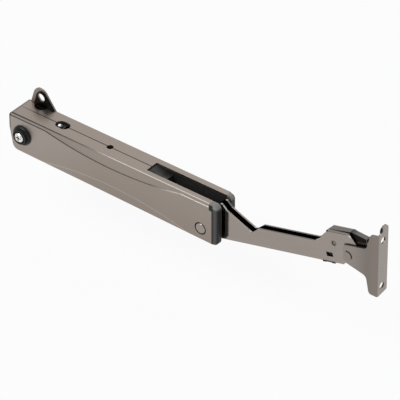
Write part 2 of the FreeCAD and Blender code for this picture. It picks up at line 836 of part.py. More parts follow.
pin = new_body("arm_pivot_pin")
shoulder = MIDDLE + S.slot_half_width + S.side_gap
revolve(pin, "turned", [
    (0, -S.pin_sink),
    (S.pivot_pin_radius - S.pin_chamfer, -S.pin_sink),
    (S.pivot_pin_radius, -S.pin_sink - S.pin_chamfer),
    (S.pivot_pin_radius, -shoulder),
    (S.pin_head_radius, -shoulder),
    (S.pin_head_radius, -FRONT - S.pin_rise + S.pin_chamfer),
    (S.pin_head_radius - S.pin_chamfer, -FRONT - S.pin_rise),
    (0, -FRONT - S.pin_rise),
])
set_place(pin, *PIVOT)

ARM_NEAR = MIDDLE - S.arm_width / 2
ARM_FAR = MIDDLE + S.arm_width / 2
RUN_RADIUS = S.pivot_pin_radius + S.pin_gap


def make_ring(label, inner, outer, near, far):
    body = new_body(label)
    revolve(body, "turned", [(inner, -near), (outer, -near), (outer, -far), (inner, -far)])
    set_place(body, *PIVOT)
    return body


make_ring("front_arm_spacer", RUN_RADIUS, S.spacer_radius, ARM_FAR + S.side_gap,
          MIDDLE + S.slot_half_width - S.side_gap)
make_ring("rear_arm_spacer", RUN_RADIUS, S.spacer_radius, MIDDLE - S.slot_half_width + S.side_gap,
          ARM_NEAR - S.side_gap)
arm_bush = make_ring("arm_pivot_bush", RUN_RADIUS, S.pivot_pin_radius + S.bush_wall, ARM_NEAR, ARM_FAR)
set_place(arm_bush, *PIVOT, S.arm_angle)


# Lever arm

def arm_outline():
    """Side of the arm without its hub and rivet lobes, from the back of the hub clockwise."""
    back = S.back_angle
    start = (-(S.hub_radius * sine(back)), S.hub_radius * cosine(back))
    nose = (start[0] + S.nose_reach * cosine(back), start[1] + S.nose_reach * sine(back))
    return [
        start,
        nose,
        (S.crest_place, S.crest_height),
        (S.notch_place, S.notch_height),
        (S.step_place, S.arm_top),
        (S.head_start, S.arm_top),
        (S.head_left - S.head_slope, S.arm_top + S.head_slope_rise),
        (S.head_left - S.head_shoulder, S.arm_top + S.head_shoulder_rise),
        (S.head_left - S.head_crown, S.head_top - S.head_crown_drop),
        (S.head_left, S.head_top),
        (S.head_right, S.head_top),
        (S.hook_tip, S.hook_base + S.hook_nose),
        (S.hook_tip - S.hook_nose, S.hook_base),
        (S.throat_place + S.throat_round, S.hook_base),
        (S.throat_place, S.hook_base - S.throat_round),
        (S.throat_place, S.arm_base + S.throat_round),
        (S.throat_place - S.throat_round, S.arm_base),
        (S.heel_place, S.arm_base),
        (0, -S.hub_radius),
        (0, 0),
    ]


lever = new_body("lever_arm")
outline = arm_outline()
pad_outline(lever, "side", outline, ARM_NEAR, S.arm_width)
round_corners(lever, "nose", [outline[1]], S.nose_round)
round_corners(lever, "notch", [outline[3]], S.notch_round)
round_corners(lever, "head", [outline[6], outline[9], outline[10], outline[13]], S.head_round)
pad_circle(lever, "hub", (0, 0), S.hub_radius, ARM_NEAR, S.arm_width)
RIVET = (S.rivet_place, S.rivet_height)
pad_circle(lever, "rivet_lobe", RIVET, S.rivet_lobe, ARM_NEAR, S.arm_width)
HEAD_WEB_END = S.throat_place - S.throat_round
web_top = S.arm_base + S.arm_sheet
far_left, far_right = -S.nose_reach, S.hook_tip + S.nose_reach
above, below = S.nose_reach + S.crest_height, S.arm_base * 2
cut_outline(lever, "channel", [
    (far_left, above), (far_right, above), (far_right, below), (HEAD_WEB_END, below),
    (HEAD_WEB_END, web_top), (S.heel_place, web_top), (S.heel_place, below), (far_left, below),
], ARM_NEAR + S.arm_sheet, S.arm_width - S.arm_sheet * 2)
fold = edges_on(lever.Tip.Shape, lambda point: abs(point.z - S.arm_base.value) < 1e-3 and (
    abs(point.y + ARM_NEAR.value) < 1e-3 or abs(point.y + ARM_FAR.value) < 1e-3))
finish_edges(lever, "fold", fold, S.fold_round)
lock_half = S.arm_width / 2 - S.arm_sheet
cut_outline(lever, "lock_opening", [
    (S.lock_place, web_top + S.arm_sheet), (S.lock_place + S.lock_length, web_top + S.arm_sheet),
    (S.lock_place + S.lock_length, below), (S.lock_place, below),
], MIDDLE - lock_half, lock_half * 2)
window_half, window_rise = S.lock_window_length / 2, S.lock_window_rise / 2
cut_outline(lever, "lock_window", [
    (S.lock_window_place - window_half, S.lock_window_height + window_rise),
    (S.lock_window_place + window_half, S.lock_window_height + window_rise),
    (S.lock_window_place + window_half, S.lock_window_height - window_rise),
    (S.lock_window_place - window_half, S.lock_window_height - window_rise),
], MIDDLE, S.arm_width)
cut_circle(lever, "bush_hole", (0, 0), S.pivot_pin_radius + S.bush_wall + S.pin_gap)
cut_circle(lever, "rivet_hole", RIVET, S.rivet_radius + S.pin_gap)
CROSS_PIN = (S.cross_pin_place, S.cross_pin_height)
cut_circle(lever, "cross_pin_hole", CROSS_PIN, S.cross_pin_radius + S.pin_gap)
cam_rivets = [(S.upper_cam_rivet_place, S.upper_cam_rivet_height),
              (S.lower_cam_rivet_place, S.lower_cam_rivet_height)]
for number, spot in enumerate(cam_rivets, start=1):
    cut_circle(lever, f"cam_rivet_hole_{number}", spot, S.cam_rivet_radius + S.pin_gap)
set_place(lever, *PIVOT, S.arm_angle)


# Cam plate between the arm's sides. Its edge is the path that lets the tongue move at a
# steady rate with the arm's angle, set off by the tongue's round end.

def cam_points(count):
    fold = math.radians(S.arm_fold.value)
    rate = S.tongue_travel.value / fold
    back, rise = S.tongue_back.value, S.tongue_height.value
    offset = S.tongue_radius.value + S.cam_gap.value
    points = []
    for step in range(count + 1):
        angle = fold * step / count
        along = (rise - rate, back + rate * angle)
        length = math.hypot(*along)
        x = -back - rate * angle + offset * along[1] / length
        z = rise - offset * along[0] / length
        turn = -math.radians(S.arm_angle.value) - angle
        points.append(Vector(x * math.cos(turn) - z * math.sin(turn), 0,
                             x * math.sin(turn) + z * math.cos(turn)))
    return points


profile = cam_points(24)
curve = Part.BSplineCurve()
curve.interpolate(profile)
last, first = profile[-1], profile[0]
low = web_top.value + S.cam_foot.value
heel = S.cam_heel.value
corners = [last, Vector(last.x - S.cam_lean.value, 0, low), Vector(S.hub_radius.value, 0, low),
           Vector(-heel, 0, heel - S.hub_radius.value), Vector(heel - S.hub_radius.value, 0, 0), first]
sides = [Part.makeLine(start, stop) for start, stop in zip(corners, corners[1:])]
cam_face = Part.Face(Part.Wire([curve.toShape()] + sides))
cam_start = MIDDLE.value - S.cam_width.value / 2
cam_face.translate(Vector(0, -cam_start, 0))
cam_shape = cam_face.extrude(Vector(0, -S.cam_width.value, 0))
bore = Part.makeCylinder(S.pivot_pin_radius.value + S.bush_wall.value + S.pin_gap.value, FRONT.value,
                         Vector(0, 0, 0), Vector(0, -1, 0))
cam_shape = cam_shape.cut(bore)
for spot in cam_rivets:
    hole = Part.makeCylinder(S.cam_rivet_radius.value + S.pin_gap.value, FRONT.value,
                             Vector(spot[0].value, 0, spot[1].value), Vector(0, -1, 0))
    cam_shape = cam_shape.cut(hole)
cam = doc.addObject("Part::Feature", "cam_plate")
cam.Label = "cam_plate"
cam.Shape = cam_shape.removeSplitter()
set_place(cam, *PIVOT, S.arm_angle)

for number, spot in enumerate(cam_rivets, start=1):
    rivet = new_body(f"cam_rivet_{number}")
    head = S.cam_rivet_head_radius
    tall = S.cam_rivet_head_height
    pad_circle(rivet, "shank", spot, S.cam_rivet_radius, ARM_NEAR - S.pin_gap,
               S.arm_width + S.pin_gap * 2)
    pad_circle(rivet, "front_head", spot, head, ARM_FAR + S.pin_gap, tall)
    pad_circle(rivet, "rear_head", spot, head, ARM_NEAR - S.pin_gap - tall, tall)
    set_place(rivet, *PIVOT, S.arm_angle)


# Carriage with the push tongue

BLOCK_HALF = FRONT_DEPTH - S.liner_wall + S.seam_gap / 2 - S.block_gap
BLOCK_WIDTH = BLOCK_HALF * 2
BLOCK_NEAR = MIDDLE - BLOCK_HALF
TONGUE_NEAR = MIDDLE - S.tongue_width / 2
AXIS_HEIGHT = S.pivot_height + S.tongue_height
NOSE_PLACE = S.pivot_place - S.tongue_back


def block_corners(left, right):
    return [(left, S.block_top), (right, S.block_top), (right, S.block_base), (left, S.block_base)]


carriage = new_body("spring_carriage")
pad_outline(carriage, "block", block_corners(S.carriage_left, S.carriage_right), BLOCK_NEAR,
            BLOCK_WIDTH)
slot_top = AXIS_HEIGHT + S.tongue_radius + S.pin_gap
slot_low = AXIS_HEIGHT - S.tongue_radius - S.pin_gap
TONGUE_START = S.carriage_left + S.tongue_root
cut_outline(carriage, "tongue_slot", [
    (TONGUE_START - S.pin_gap, slot_top), (S.carriage_right + S.sheet, slot_top),
    (S.carriage_right + S.sheet, slot_low), (TONGUE_START - S.pin_gap, slot_low),
], TONGUE_NEAR - S.pin_gap, S.tongue_width + S.pin_gap * 2)
for name, height in (("upper", S.upper_spring_height), ("lower", S.lower_spring_height)):
    cut_circle(carriage, f"{name}_bore", (-MIDDLE, height), S.rod_radius + S.rod_gap,
               S.carriage_left - S.sheet, S.carriage_right, "YZ_Plane")
PIN_SPOTS = [(TONGUE_START + S.tongue_pin_left, AXIS_HEIGHT),
             (S.carriage_right - S.tongue_pin_right, AXIS_HEIGHT)]
for number, spot in enumerate(PIN_SPOTS, start=1):
    cut_circle(carriage, f"pin_hole_{number}", spot, S.cam_rivet_radius + S.pin_gap)

tongue = new_body("push_tongue")
pad_outline(tongue, "bar", [
    (TONGUE_START, AXIS_HEIGHT + S.tongue_radius), (NOSE_PLACE, AXIS_HEIGHT + S.tongue_radius),
    (NOSE_PLACE, AXIS_HEIGHT - S.tongue_radius), (TONGUE_START, AXIS_HEIGHT - S.tongue_radius),
], TONGUE_NEAR, S.tongue_width)
pad_circle(tongue, "nose", (NOSE_PLACE, AXIS_HEIGHT), S.tongue_radius, TONGUE_NEAR, S.tongue_width)
for number, spot in enumerate(PIN_SPOTS, start=1):
    cut_circle(tongue, f"pin_hole_{number}", spot, S.cam_rivet_radius + S.pin_gap)
    cross = new_body(f"tongue_pin_{number}")
    pad_circle(cross, "shank", spot, S.cam_rivet_radius, BLOCK_NEAR + S.side_gap,
               BLOCK_WIDTH - S.side_gap * 2)


# Abutment, rods, adjusting screw and marker

abutment = new_body("spring_abutment")
pad_outline(abutment, "block", block_corners(S.abutment_left, S.abutment_right), BLOCK_NEAR,
            BLOCK_WIDTH)
stub = new_sketch(abutment, "stub_sketch", "XY_Plane", S.block_top - S.sheet)
add_circle(stub, S.marker_place, -MIDDLE, S.marker_radius + S.pin_ring)
add_feature(abutment, "Pad", "stub", stub, S.marker_collar_top - S.block_top + S.sheet)
MARKER_FOOT = S.adjuster_height + S.adjuster_radius + S.side_gap * 2
cut_down(abutment, "marker_hole", lambda sketch: add_circle(
    sketch, S.marker_place, -MIDDLE, S.marker_radius + S.pin_gap), MARKER_FOOT, S.case_top)
cut_circle(abutment, "screw_bore", (-MIDDLE, S.adjuster_height), S.adjuster_radius + S.pin_gap,
           S.abutment_left - S.sheet, S.abutment_right, "YZ_Plane")
for name, height in (("upper", S.upper_spring_height), ("lower", S.lower_spring_height)):
    cut_circle(abutment, f"{name}_bore", (-MIDDLE, height), S.rod_radius + S.pin_gap,
               S.rod_start - S.pin_gap, S.abutment_right, "YZ_Plane")
    rod = new_body(f"{name}_guide_rod")
    pad_circle(rod, "bar", (-MIDDLE, height), S.rod_radius, S.rod_start, S.rod_end - S.rod_start,
               "YZ_Plane")

marker = new_body("preload_marker")
foot = new_sketch(marker, "pin_sketch", "XY_Plane", MARKER_FOOT + S.pin_gap)
add_circle(foot, S.marker_place, -MIDDLE, S.marker_radius)
add_feature(marker, "Pad", "pin", foot, S.marker_top - MARKER_FOOT - S.pin_gap)
dome = edges_on(marker.Tip.Shape, lambda point: abs(point.z - S.marker_top.value) < 1e-3)
finish_edges(marker, "dome", dome, S.marker_dome)

adjuster = new_body("adjusting_screw")
HEAD_END = S.adjuster_head_left + S.adjuster_head_length
AXLE = (-MIDDLE, S.adjuster_height)
pad_circle(adjuster, "head", AXLE, S.adjuster_head_radius, S.adjuster_head_left,
           S.adjuster_head_length, "YZ_Plane")
pad_circle(adjuster, "shank", AXLE, S.adjuster_radius, HEAD_END, S.adjuster_tip - HEAD_END, "YZ_Plane")
hexagon = []
for corner in range(6):
    turn = math.radians(60 * corner)
    hexagon.append((-MIDDLE + S.socket_radius * math.cos(turn),
                    S.adjuster_height + S.socket_radius * math.sin(turn)))
cut_outline(adjuster, "socket", hexagon, S.adjuster_head_left - S.pin_gap, S.socket_depth + S.pin_gap,
            "YZ_Plane")


def make_spring(label, height):
    """A round coil between the abutment and the carriage, of six-sided wire."""
    left = S.abutment_right.value + S.spring_gap.value + S.spring_wire.value
    right = S.carriage_left.value - S.spring_gap.value - S.spring_wire.value
    pitch = (right - left) / S.spring_turns.value
    coil = Part.makeHelix(pitch, right - left, S.spring_radius.value)
    ring = []
    for corner in range(7):
        turn = math.radians(60 * corner + 30)
        ring.append(Vector(S.spring_radius.value + S.spring_wire.value * math.cos(turn), 0,
                           S.spring_wire.value * math.sin(turn)))
    wire = Part.Wire(coil.Edges).makePipeShell([Part.makePolygon(ring)], True, True)
    spring = doc.addObject("Part::Feature", label)
    spring.Label = label
    spring.Shape = wire
    place = Vector(left, -MIDDLE.value, height.value)
    spring.Placement = FreeCAD.Placement(place, FreeCAD.Rotation(Vector(0, 1, 0), 90))


make_spring("upper_spring", S.upper_spring_height)
make_spring("lower_spring", S.lower_spring_height)


# Clip adapter, its cross pin and the lock in the arm's head

ADAPTER_NEAR = MIDDLE - S.adapter_width / 2
LID_TOP = S.head_top + S.adapter_lid_gap + S.adapter_sheet


def adapter_top(drop):
    """The adapter's upper edge, or the line a given depth below it."""
    return [
        (S.adapter_left, LID_TOP - S.adapter_left_drop - drop),
        (S.adapter_crown, LID_TOP - drop),
        (S.adapter_bend, LID_TOP + S.adapter_bend_rise - drop),
        (S.adapter_right, LID_TOP - S.adapter_right_drop - drop),
    ]


adapter = new_body("clip_adapter")
pad_outline(adapter, "channel", adapter_top(as_size(0)) + [
    (S.adapter_right, S.adapter_tail_height), (S.adapter_tail_place, S.adapter_tail_low),
    (S.adapter_bend, S.adapter_belly), (S.adapter_crown, S.adapter_belly),
], ADAPTER_NEAR, S.adapter_width)
past = S.adapter_right + S.adapter_sheet
cut_outline(adapter, "hollow", adapter_top(S.adapter_sheet) + [
    (past, LID_TOP - S.adapter_right_drop - S.adapter_sheet), (past, 0),
    (S.adapter_left - S.adapter_sheet, 0),
    (S.adapter_left - S.adapter_sheet, LID_TOP - S.adapter_left_drop - S.adapter_sheet),
], ADAPTER_NEAR + S.adapter_sheet, S.adapter_width - S.adapter_sheet * 2)
pad_outline(adapter, "lid", [
    (S.adapter_crown, LID_TOP - S.adapter_sheet), (S.adapter_crown, LID_TOP),
    (S.head_right, LID_TOP), (S.head_right, LID_TOP - S.adapter_sheet),
], ARM_NEAR, S.arm_width)
cut_circle(adapter, "pin_hole", CROSS_PIN, S.cross_pin_radius + S.pin_gap)
set_place(adapter, *PIVOT, S.arm_angle)

cross_pin = new_body("adapter_pin")
pad_circle(cross_pin, "shank", CROSS_PIN, S.cross_pin_radius, ARM_NEAR + S.cross_pin_sink,
           S.arm_width - S.cross_pin_sink * 2)
set_place(cross_pin, *PIVOT, S.arm_angle)

lock = new_body("adapter_lock")
lock_width = S.arm_width - S.arm_sheet * 2 - S.side_gap * 4
lock_left, lock_right = S.lock_place + S.block_gap, S.lock_place + S.lock_length - S.block_gap
lock_low = web_top - S.lock_drop
lock_top = S.lock_window_height + window_rise
foot = S.lock_foot
pad_outline(lock, "body", [
    (lock_left, web_top + S.arm_sheet), (lock_left + foot, lock_top), (lock_right, lock_top),
    (lock_right, lock_low), (lock_right - foot, lock_low), (lock_right - foot, lock_low + S.lock_step),
    (lock_left + foot, lock_low + S.lock_step), (lock_left + foot, lock_low), (lock_left, lock_low),
], MIDDLE - lock_width / 2, lock_width)
set_place(lock, *PIVOT, S.arm_angle)


# Lid bracket on its rivet

RIVET_X = S.pivot_place + S.rivet_place * cosine(S.arm_angle) - S.rivet_height * sine(S.arm_angle)
RIVET_Z = S.pivot_height + S.rivet_place * sine(S.arm_angle) + S.rivet_height * cosine(S.arm_angle)
WEB_NEAR = ARM_FAR + S.bracket_gap
WEB_FAR = WEB_NEAR + S.bracket_sheet

rivet = new_body("bracket_rivet")
revolve(rivet, "turned", [
    (0, -ARM_NEAR + S.rivet_head_height),
    (S.rivet_crown_radius, -ARM_NEAR + S.rivet_head_height),
    (S.rivet_head_radius, -ARM_NEAR + S.pin_gap),
    (S.rivet_radius, -ARM_NEAR + S.pin_gap),
    (S.rivet_radius, -WEB_FAR - S.pin_gap),
    (S.rivet_head_radius, -WEB_FAR - S.pin_gap),
    (S.rivet_crown_radius, -WEB_FAR - S.rivet_head_height),
    (0, -WEB_FAR - S.rivet_head_height),
])
set_place(rivet, RIVET_X, RIVET_Z)

bracket = new_body("flap_bracket")
web = [
    (-S.bracket_back, S.bracket_tail_base),
    (-S.bracket_back, S.bracket_tail_top),
    (S.bracket_neck, S.bracket_neck_top),
    (S.bracket_web_left, S.bracket_web_top),
    (S.bracket_depth, S.bracket_web_top + S.bracket_web_rise),
    (S.bracket_depth, S.bracket_web_base),
    (S.bracket_web_left, S.bracket_web_base),
    (S.bracket_neck, S.bracket_neck_base),
]
pad_outline(bracket, "web", web, WEB_NEAR, S.bracket_sheet)
round_corners(bracket, "tail", [web[0]], S.bracket_back)
round_corners(bracket, "neck", [web[2], web[7]], S.bracket_neck_round)
round_corners(bracket, "corners", [web[1], web[3], web[6]], S.bracket_corner)
flange = new_sketch(bracket, "flange_sketch", "YZ_Plane", S.bracket_depth - S.bracket_sheet)
edge_near, edge_far = S.bracket_width - WEB_FAR, -WEB_FAR
web_crown = S.bracket_web_top + S.bracket_web_rise
lobe_far = edge_near - S.bracket_lobe
add_outline(flange, [
    (edge_far, S.bracket_web_base), (edge_near, S.bracket_flange_base),
    (edge_near, S.bracket_flange_top), (lobe_far, S.bracket_flange_top),
    (lobe_far, web_crown), (edge_far, web_crown),
])
add_feature(bracket, "Pad", "flange", flange, S.bracket_sheet)


def on_bend(y, x):
    """A test for the upright edge of the bracket's bend."""
    return lambda point: abs(point.y + y.value) < 1e-3 and abs(point.x - x.value) < 1e-3


bend = edges_on(bracket.Tip.Shape, on_bend(WEB_NEAR, S.bracket_depth - S.bracket_sheet))
finish_edges(bracket, "inner_bend", bend, S.bracket_bend_inner)
bend = edges_on(bracket.Tip.Shape, on_bend(WEB_FAR, S.bracket_depth))
finish_edges(bracket, "bend", bend, S.bracket_bend)


def stands_at(y, z):
    """A test for the flange's corner edge along X at (y, z)."""
    return lambda point: abs(point.y - y.value) < 1e-3 and abs(point.z - z.value) < 1e-3


for name, y, z, radius in (
    ("lobe_near", edge_near, S.bracket_flange_top, S.bracket_lobe_round),
    ("lobe_far", lobe_far, S.bracket_flange_top, S.bracket_lobe_round),
    ("lobe_foot", lobe_far, web_crown, S.bracket_lobe_foot),
    ("low_near", edge_near, S.bracket_flange_base, S.bracket_sheet),
):
    finish_edges(bracket, name, edges_on(bracket.Tip.Shape, stands_at(y, z)), radius)
cut_circle(bracket, "rivet_hole", (0, 0), S.rivet_radius + S.pin_gap)
for number in range(2):
    height = S.bracket_low_hole + S.bracket_hole_pitch * number
    cut_circle(bracket, f"screw_hole_{number + 1}", (-MIDDLE, height), S.bracket_hole_radius,
               S.bracket_depth - S.bracket_sheet * 2, S.bracket_sheet * 3, "YZ_Plane")
set_place(bracket, RIVET_X, RIVET_Z)


# Check every piece and write it out

doc.recompute()
pieces = [item for item in doc.Objects if item.TypeId in ("PartDesign::Body", "Part::Feature")]
for item in doc.Objects:
    check_state(item)
for item in pieces:
    shape = item.Shape
    if shape.isNull() or not shape.isValid() or len(shape.Solids) != 1:
        raise ValueError(f"{item.Label}: bad shape")

os.makedirs("parts", exist_ok=True)
for item in pieces:
    item.Shape.exportStep(f"parts/{item.Label}.step")
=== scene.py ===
import json
import math

import bmesh
import bpy
from mathutils import Matrix, Vector


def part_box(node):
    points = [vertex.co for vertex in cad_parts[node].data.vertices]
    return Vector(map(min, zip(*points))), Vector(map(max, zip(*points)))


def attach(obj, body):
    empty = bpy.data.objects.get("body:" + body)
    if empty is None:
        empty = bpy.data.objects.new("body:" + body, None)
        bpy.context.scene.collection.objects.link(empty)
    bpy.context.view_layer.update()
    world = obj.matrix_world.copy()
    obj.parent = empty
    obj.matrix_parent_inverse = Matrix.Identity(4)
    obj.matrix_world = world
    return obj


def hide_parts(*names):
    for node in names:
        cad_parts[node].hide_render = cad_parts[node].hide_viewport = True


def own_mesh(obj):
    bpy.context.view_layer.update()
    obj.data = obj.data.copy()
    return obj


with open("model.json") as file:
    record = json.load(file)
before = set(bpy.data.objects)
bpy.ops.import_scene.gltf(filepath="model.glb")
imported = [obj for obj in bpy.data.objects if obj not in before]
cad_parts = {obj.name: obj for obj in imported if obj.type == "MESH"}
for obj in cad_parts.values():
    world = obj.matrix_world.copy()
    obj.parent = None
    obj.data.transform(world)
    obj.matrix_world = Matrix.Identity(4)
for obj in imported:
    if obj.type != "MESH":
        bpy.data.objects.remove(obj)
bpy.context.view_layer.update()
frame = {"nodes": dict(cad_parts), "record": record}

# The lid stay lies as in the photograph: case at the left, arm and lid bracket at the right.
# Everything is in metres, with +X along the case, +Y into the cabinet side and +Z up.

NODES = frame["nodes"]
RECORD = frame["record"]
JOINTS = {joint["name"]: joint for joint in RECORD["behaviour"]["joints"]}
MM = 0.001
QUARTER_TURN = math.radians(90)


def mm(*lengths):
    """Lengths given in millimetres, in metres."""
    return tuple(length * MM for length in lengths)


# The case's front, as in the solids: the recessed band along its top ends at a wide arc in
# the middle and at a straight line near both ends; a second arc runs above the underside. An
# arc is given by its middle's X and Z and by its radius.
SEAM = -9.0 * MM
TOP = 13.15 * MM
BAND_BASE = 10.85 * MM
BAND_ARC = mm(70.0, 255.4, 250.0)
LOW_ARC = mm(67.5, -247.15, 240.0)
PIVOT = Vector(JOINTS["arm_hinge"]["pos_m"])
RIVET = Vector(JOINTS["bracket_hinge"]["pos_m"])
ARM_ANGLE = math.radians(14)


def srgb(red, green, blue):
    """A colour as the eye sees it on a screen, 0 to 255, turned into linear light."""
    def linear(value):
        value = value / 255
        return value / 12.92 if value <= 0.04045 else ((value + 0.055) / 1.055) ** 2.4
    return (linear(red), linear(green), linear(blue), 1.0)


# Shader maths

class Wire:
    """One shader socket. Adding or multiplying wires adds the Math nodes for it."""

    def __init__(self, shading, socket):
        self.shading = shading
        self.socket = socket

    def maths(self, operation, *others):
        return self.shading.node("ShaderNodeMath", {"operation": operation}, self, *others)

    def __add__(self, other):
        return self.maths("ADD", other)

    def __sub__(self, other):
        return self.maths("SUBTRACT", other)

    def __mul__(self, other):
        return self.maths("MULTIPLY", other)

    def __truediv__(self, other):
        return self.maths("DIVIDE", other)

    def __rsub__(self, other):
        return self.shading.node("ShaderNodeMath", {"operation": "SUBTRACT"}, other, self)

    __radd__ = __add__
    __rmul__ = __mul__

    def __lt__(self, other):
        return self.maths("LESS_THAN", other)

    def __gt__(self, other):
        return self.maths("GREATER_THAN", other)

    def root(self):
        return self.maths("SQRT")

    def size(self):
        return self.maths("ABSOLUTE")

    def most(self, other):
        return self.maths("MAXIMUM", other)

    def clamp(self):
        return self.shading.node("ShaderNodeClamp", {}, self)

    def near(self, place, width, gain=1.0):
        """1 at a place, falling to 0 at a width from it. More gain keeps it at 1 for longer."""
        return ((1 - (self - place).size() / width) * gain).clamp()

    def rising(self, start, stop):
        """0 up to one value and 1 from another, straight between them."""
        return ((self - start) / (stop - start)).clamp()

    def falling(self, start, stop):
        """1 up to one value and 0 from another, straight between them."""
        return 1 - self.rising(start, stop)

    def tone(self, first, *changes):
        """A first value, and what each change adds to it over its span."""
        for span, change in changes:
            first = self.rising(*span) * change + first
        return first


def distance(first, second):
    """How far a place lies from the origin by its two coordinates."""
    return (first * first + second * second).root()


class Shading:
    """The nodes of a material or of the world, which one method adds."""

    def __init__(self, owner):
        self.owner = owner
        owner.use_nodes = True
        self.tree = owner.node_tree
        self.tree.nodes.clear()

    def feed(self, socket, value):
        """Leads a wire to a socket, or sets a number or a colour on it."""
        if isinstance(value, Wire):
            self.tree.links.new(value.socket, socket)
        else:
            socket.default_value = value

    def node(self, kind, settings, *inputs, output=0, **named):
        """Adds a node with its settings, and feeds its inputs by their order or by name. It
        gives the wire of one output, or a list of wires for a tuple of outputs."""
        node = self.tree.nodes.new(kind)
        for key, value in settings.items():
            setattr(node, key, value)
        for place, value in enumerate(inputs):
            if value is not None:
                self.feed(node.inputs[place], value)
        for key, value in named.items():
            self.feed(node.inputs[key.replace("_", " ")], value)
        if isinstance(output, tuple):
            return [Wire(self, node.outputs[place]) for place in output]
        return Wire(self, node.outputs[output])


class Material(Shading):
    """A material under construction."""

    EDGE_FACING = 0.985
    EDGE_GAIN = 9

    def __init__(self, name):
        super().__init__(bpy.data.materials.new(name))

    def coordinates(self):
        return self.node("ShaderNodeTexCoord", {}, output="Object")

    def axes(self):
        """The object coordinates as three numbers."""
        return self.node("ShaderNodeSeparateXYZ", {}, self.coordinates(), output=("X", "Y", "Z"))

    def place(self, scale=(1, 1, 1), turn=(0, 0, 0)):
        """Object coordinates, turned and then stretched for a pattern."""
        turned = self.node("ShaderNodeMapping", {}, Vector=self.coordinates(), Rotation=turn)
        return self.node("ShaderNodeMapping", {}, Vector=turned, Scale=scale)

    def noise(self, vector, scale, detail):
        return self.node("ShaderNodeTexNoise", {}, Vector=vector, Scale=scale, Detail=detail,
                         Roughness=0.55)

    def mix(self, factor, first, second):
        """A mix of two colours, whose sockets come after those for numbers and vectors."""
        others = [None] * 5
        return self.node("ShaderNodeMix", {"data_type": "RGBA"}, factor, *others, first, second,
                         output=2)

    def bump(self, height, strength, depth):
        return self.node("ShaderNodeBump", {}, Height=height, Strength=strength, Distance=depth)

    def edges(self, width):
        """1 where two faces meet within a width, and 0 on open faces."""
        rounded = self.node("ShaderNodeBevel", {"samples": 6}, Radius=width)
        plain = self.node("ShaderNodeNewGeometry", {}, output="Normal")
        facing = self.node("ShaderNodeVectorMath", {"operation": "DOT_PRODUCT"}, rounded, plain,
                           output="Value")
        return ((self.EDGE_FACING - facing) * self.EDGE_GAIN).clamp()

    def corners(self, reach):
        """1 deep in a corner or gap, and 0 on open faces."""
        open_share = self.node("ShaderNodeAmbientOcclusion", {"samples": 8}, Distance=reach,
                               output="AO")
        return (1 - open_share).clamp()

    def finish(self, shader):
        """Leads a shader to the output and gives the material."""
        self.node("ShaderNodeOutputMaterial", {}, Surface=shader, output=())
        return self.owner

    def principled(self, colour, roughness, metallic, normal, **constants):
        return self.finish(self.node("ShaderNodeBsdfPrincipled", {}, Base_Color=colour,
                                     Roughness=roughness, Metallic=metallic, Normal=normal,
                                     **constants))


# Painted light and shade that single places show: light and dark lines and shades laid into the
# colour where highlights, shadows and shade fall. Each function gives masks with their colours,
# and satin_nickel lays them on in that order. A line is its place and how far it reaches from
# it, with a gain where it is broad. A tone is what Wire.tone takes.

# Colours of the painted marks: SHADE for painted shade and shadow, GLINT for painted highlight
# and also for edges that are partly worn, BLACK for the plastic's painted shade.
SHADE = srgb(26, 23, 21)
GLINT = srgb(238, 234, 228)
BLACK = srgb(22, 21, 21)

# Painted light and shade on the case's front: light and dark lines along the band's crease and
# the top rim, a light line on the low arc, dark end rims, a painted shadow line in the seam,
# painted shade on the band at the left, and painted light growing towards the top and the left.
CASE_FRONT = -17.0 * MM
CREASE = mm(0.0, 0.45)
CREASE_DARK = (0.72, (mm(20, 95), -0.42), (mm(100, 112), -0.3))
CREASE_LIGHT = (0.0, (mm(100, 116), 0.8))
LOW_CREASE = mm(0.0, 0.4)
LOW_CREASE_LIGHT = 0.5
RIM = (TOP, 0.45 * MM)
RIM_LIGHT = (0.0, (mm(56, 70), 0.8))
RIM_SHADE = (TOP, 0.9 * MM, 1.4)
RIM_SHADE_END = mm(50, 60)
RIM_SHADE_DARK = (0.75, (mm(5, 55), -0.3))
SEAM_LINE = (SEAM, 0.5 * MM, 1.6)
SEAM_FOOT = 12.55 * MM
SEAM_DARK = (0.255, (mm(-8, 5), 0.595))
BAND_DEPTH = mm(0.0, 1.0)
BAND_DARK = (0.14, (mm(30, 60), -0.14))
LEFT_RIM_HEIGHT = mm(-11, 4)
LEFT_RIM_DARK = (0.9, (mm(-9.9, -9.0), -0.9))
RIGHT_RIM_DARK = (0.0, (mm(145.1, 145.5), 0.9))
SKY_ABOVE = (0.0, (mm(-13, 6), 0.05))
SKY_AT_LEFT = (0.08, (mm(15, 60), -0.08))


def case_lines(material):
    """Painted highlights and painted shade on the case: light and dark lines on its creases and
    rims, a painted shadow line in the seam, painted shade on the band and painted light on its
    front.
    """
    x, y, z = material.axes()
    front = y < CASE_FRONT
    band_arc, low_arc = (distance(x - middle, z - height) - radius
                         for middle, height, radius in (BAND_ARC, LOW_ARC))
    band = (z - BAND_BASE).most(band_arc * -1)
    crease = band.near(*CREASE)
    light = crease * x.tone(*CREASE_LIGHT) + z.near(*RIM) * x.tone(*RIM_LIGHT)
    light = light + low_arc.near(*LOW_CREASE) * (z < 0.0) * LOW_CREASE_LIGHT
    light = light + z.tone(*SKY_ABOVE) + x.tone(*SKY_AT_LEFT)
    dark = crease * x.tone(*CREASE_DARK) + band.rising(*BAND_DEPTH) * x.tone(*BAND_DARK)
    dark = dark + z.near(*RIM_SHADE) * x.falling(*RIM_SHADE_END) * x.tone(*RIM_SHADE_DARK)
    dark = dark + z.rising(*LEFT_RIM_HEIGHT) * x.tone(*LEFT_RIM_DARK) + x.tone(*RIGHT_RIM_DARK)
    seam = y.near(*SEAM_LINE) * (z > SEAM_FOOT) * x.tone(*SEAM_DARK)
    return ((light * front).clamp(), GLINT), ((dark * front + seam).clamp(), SHADE)
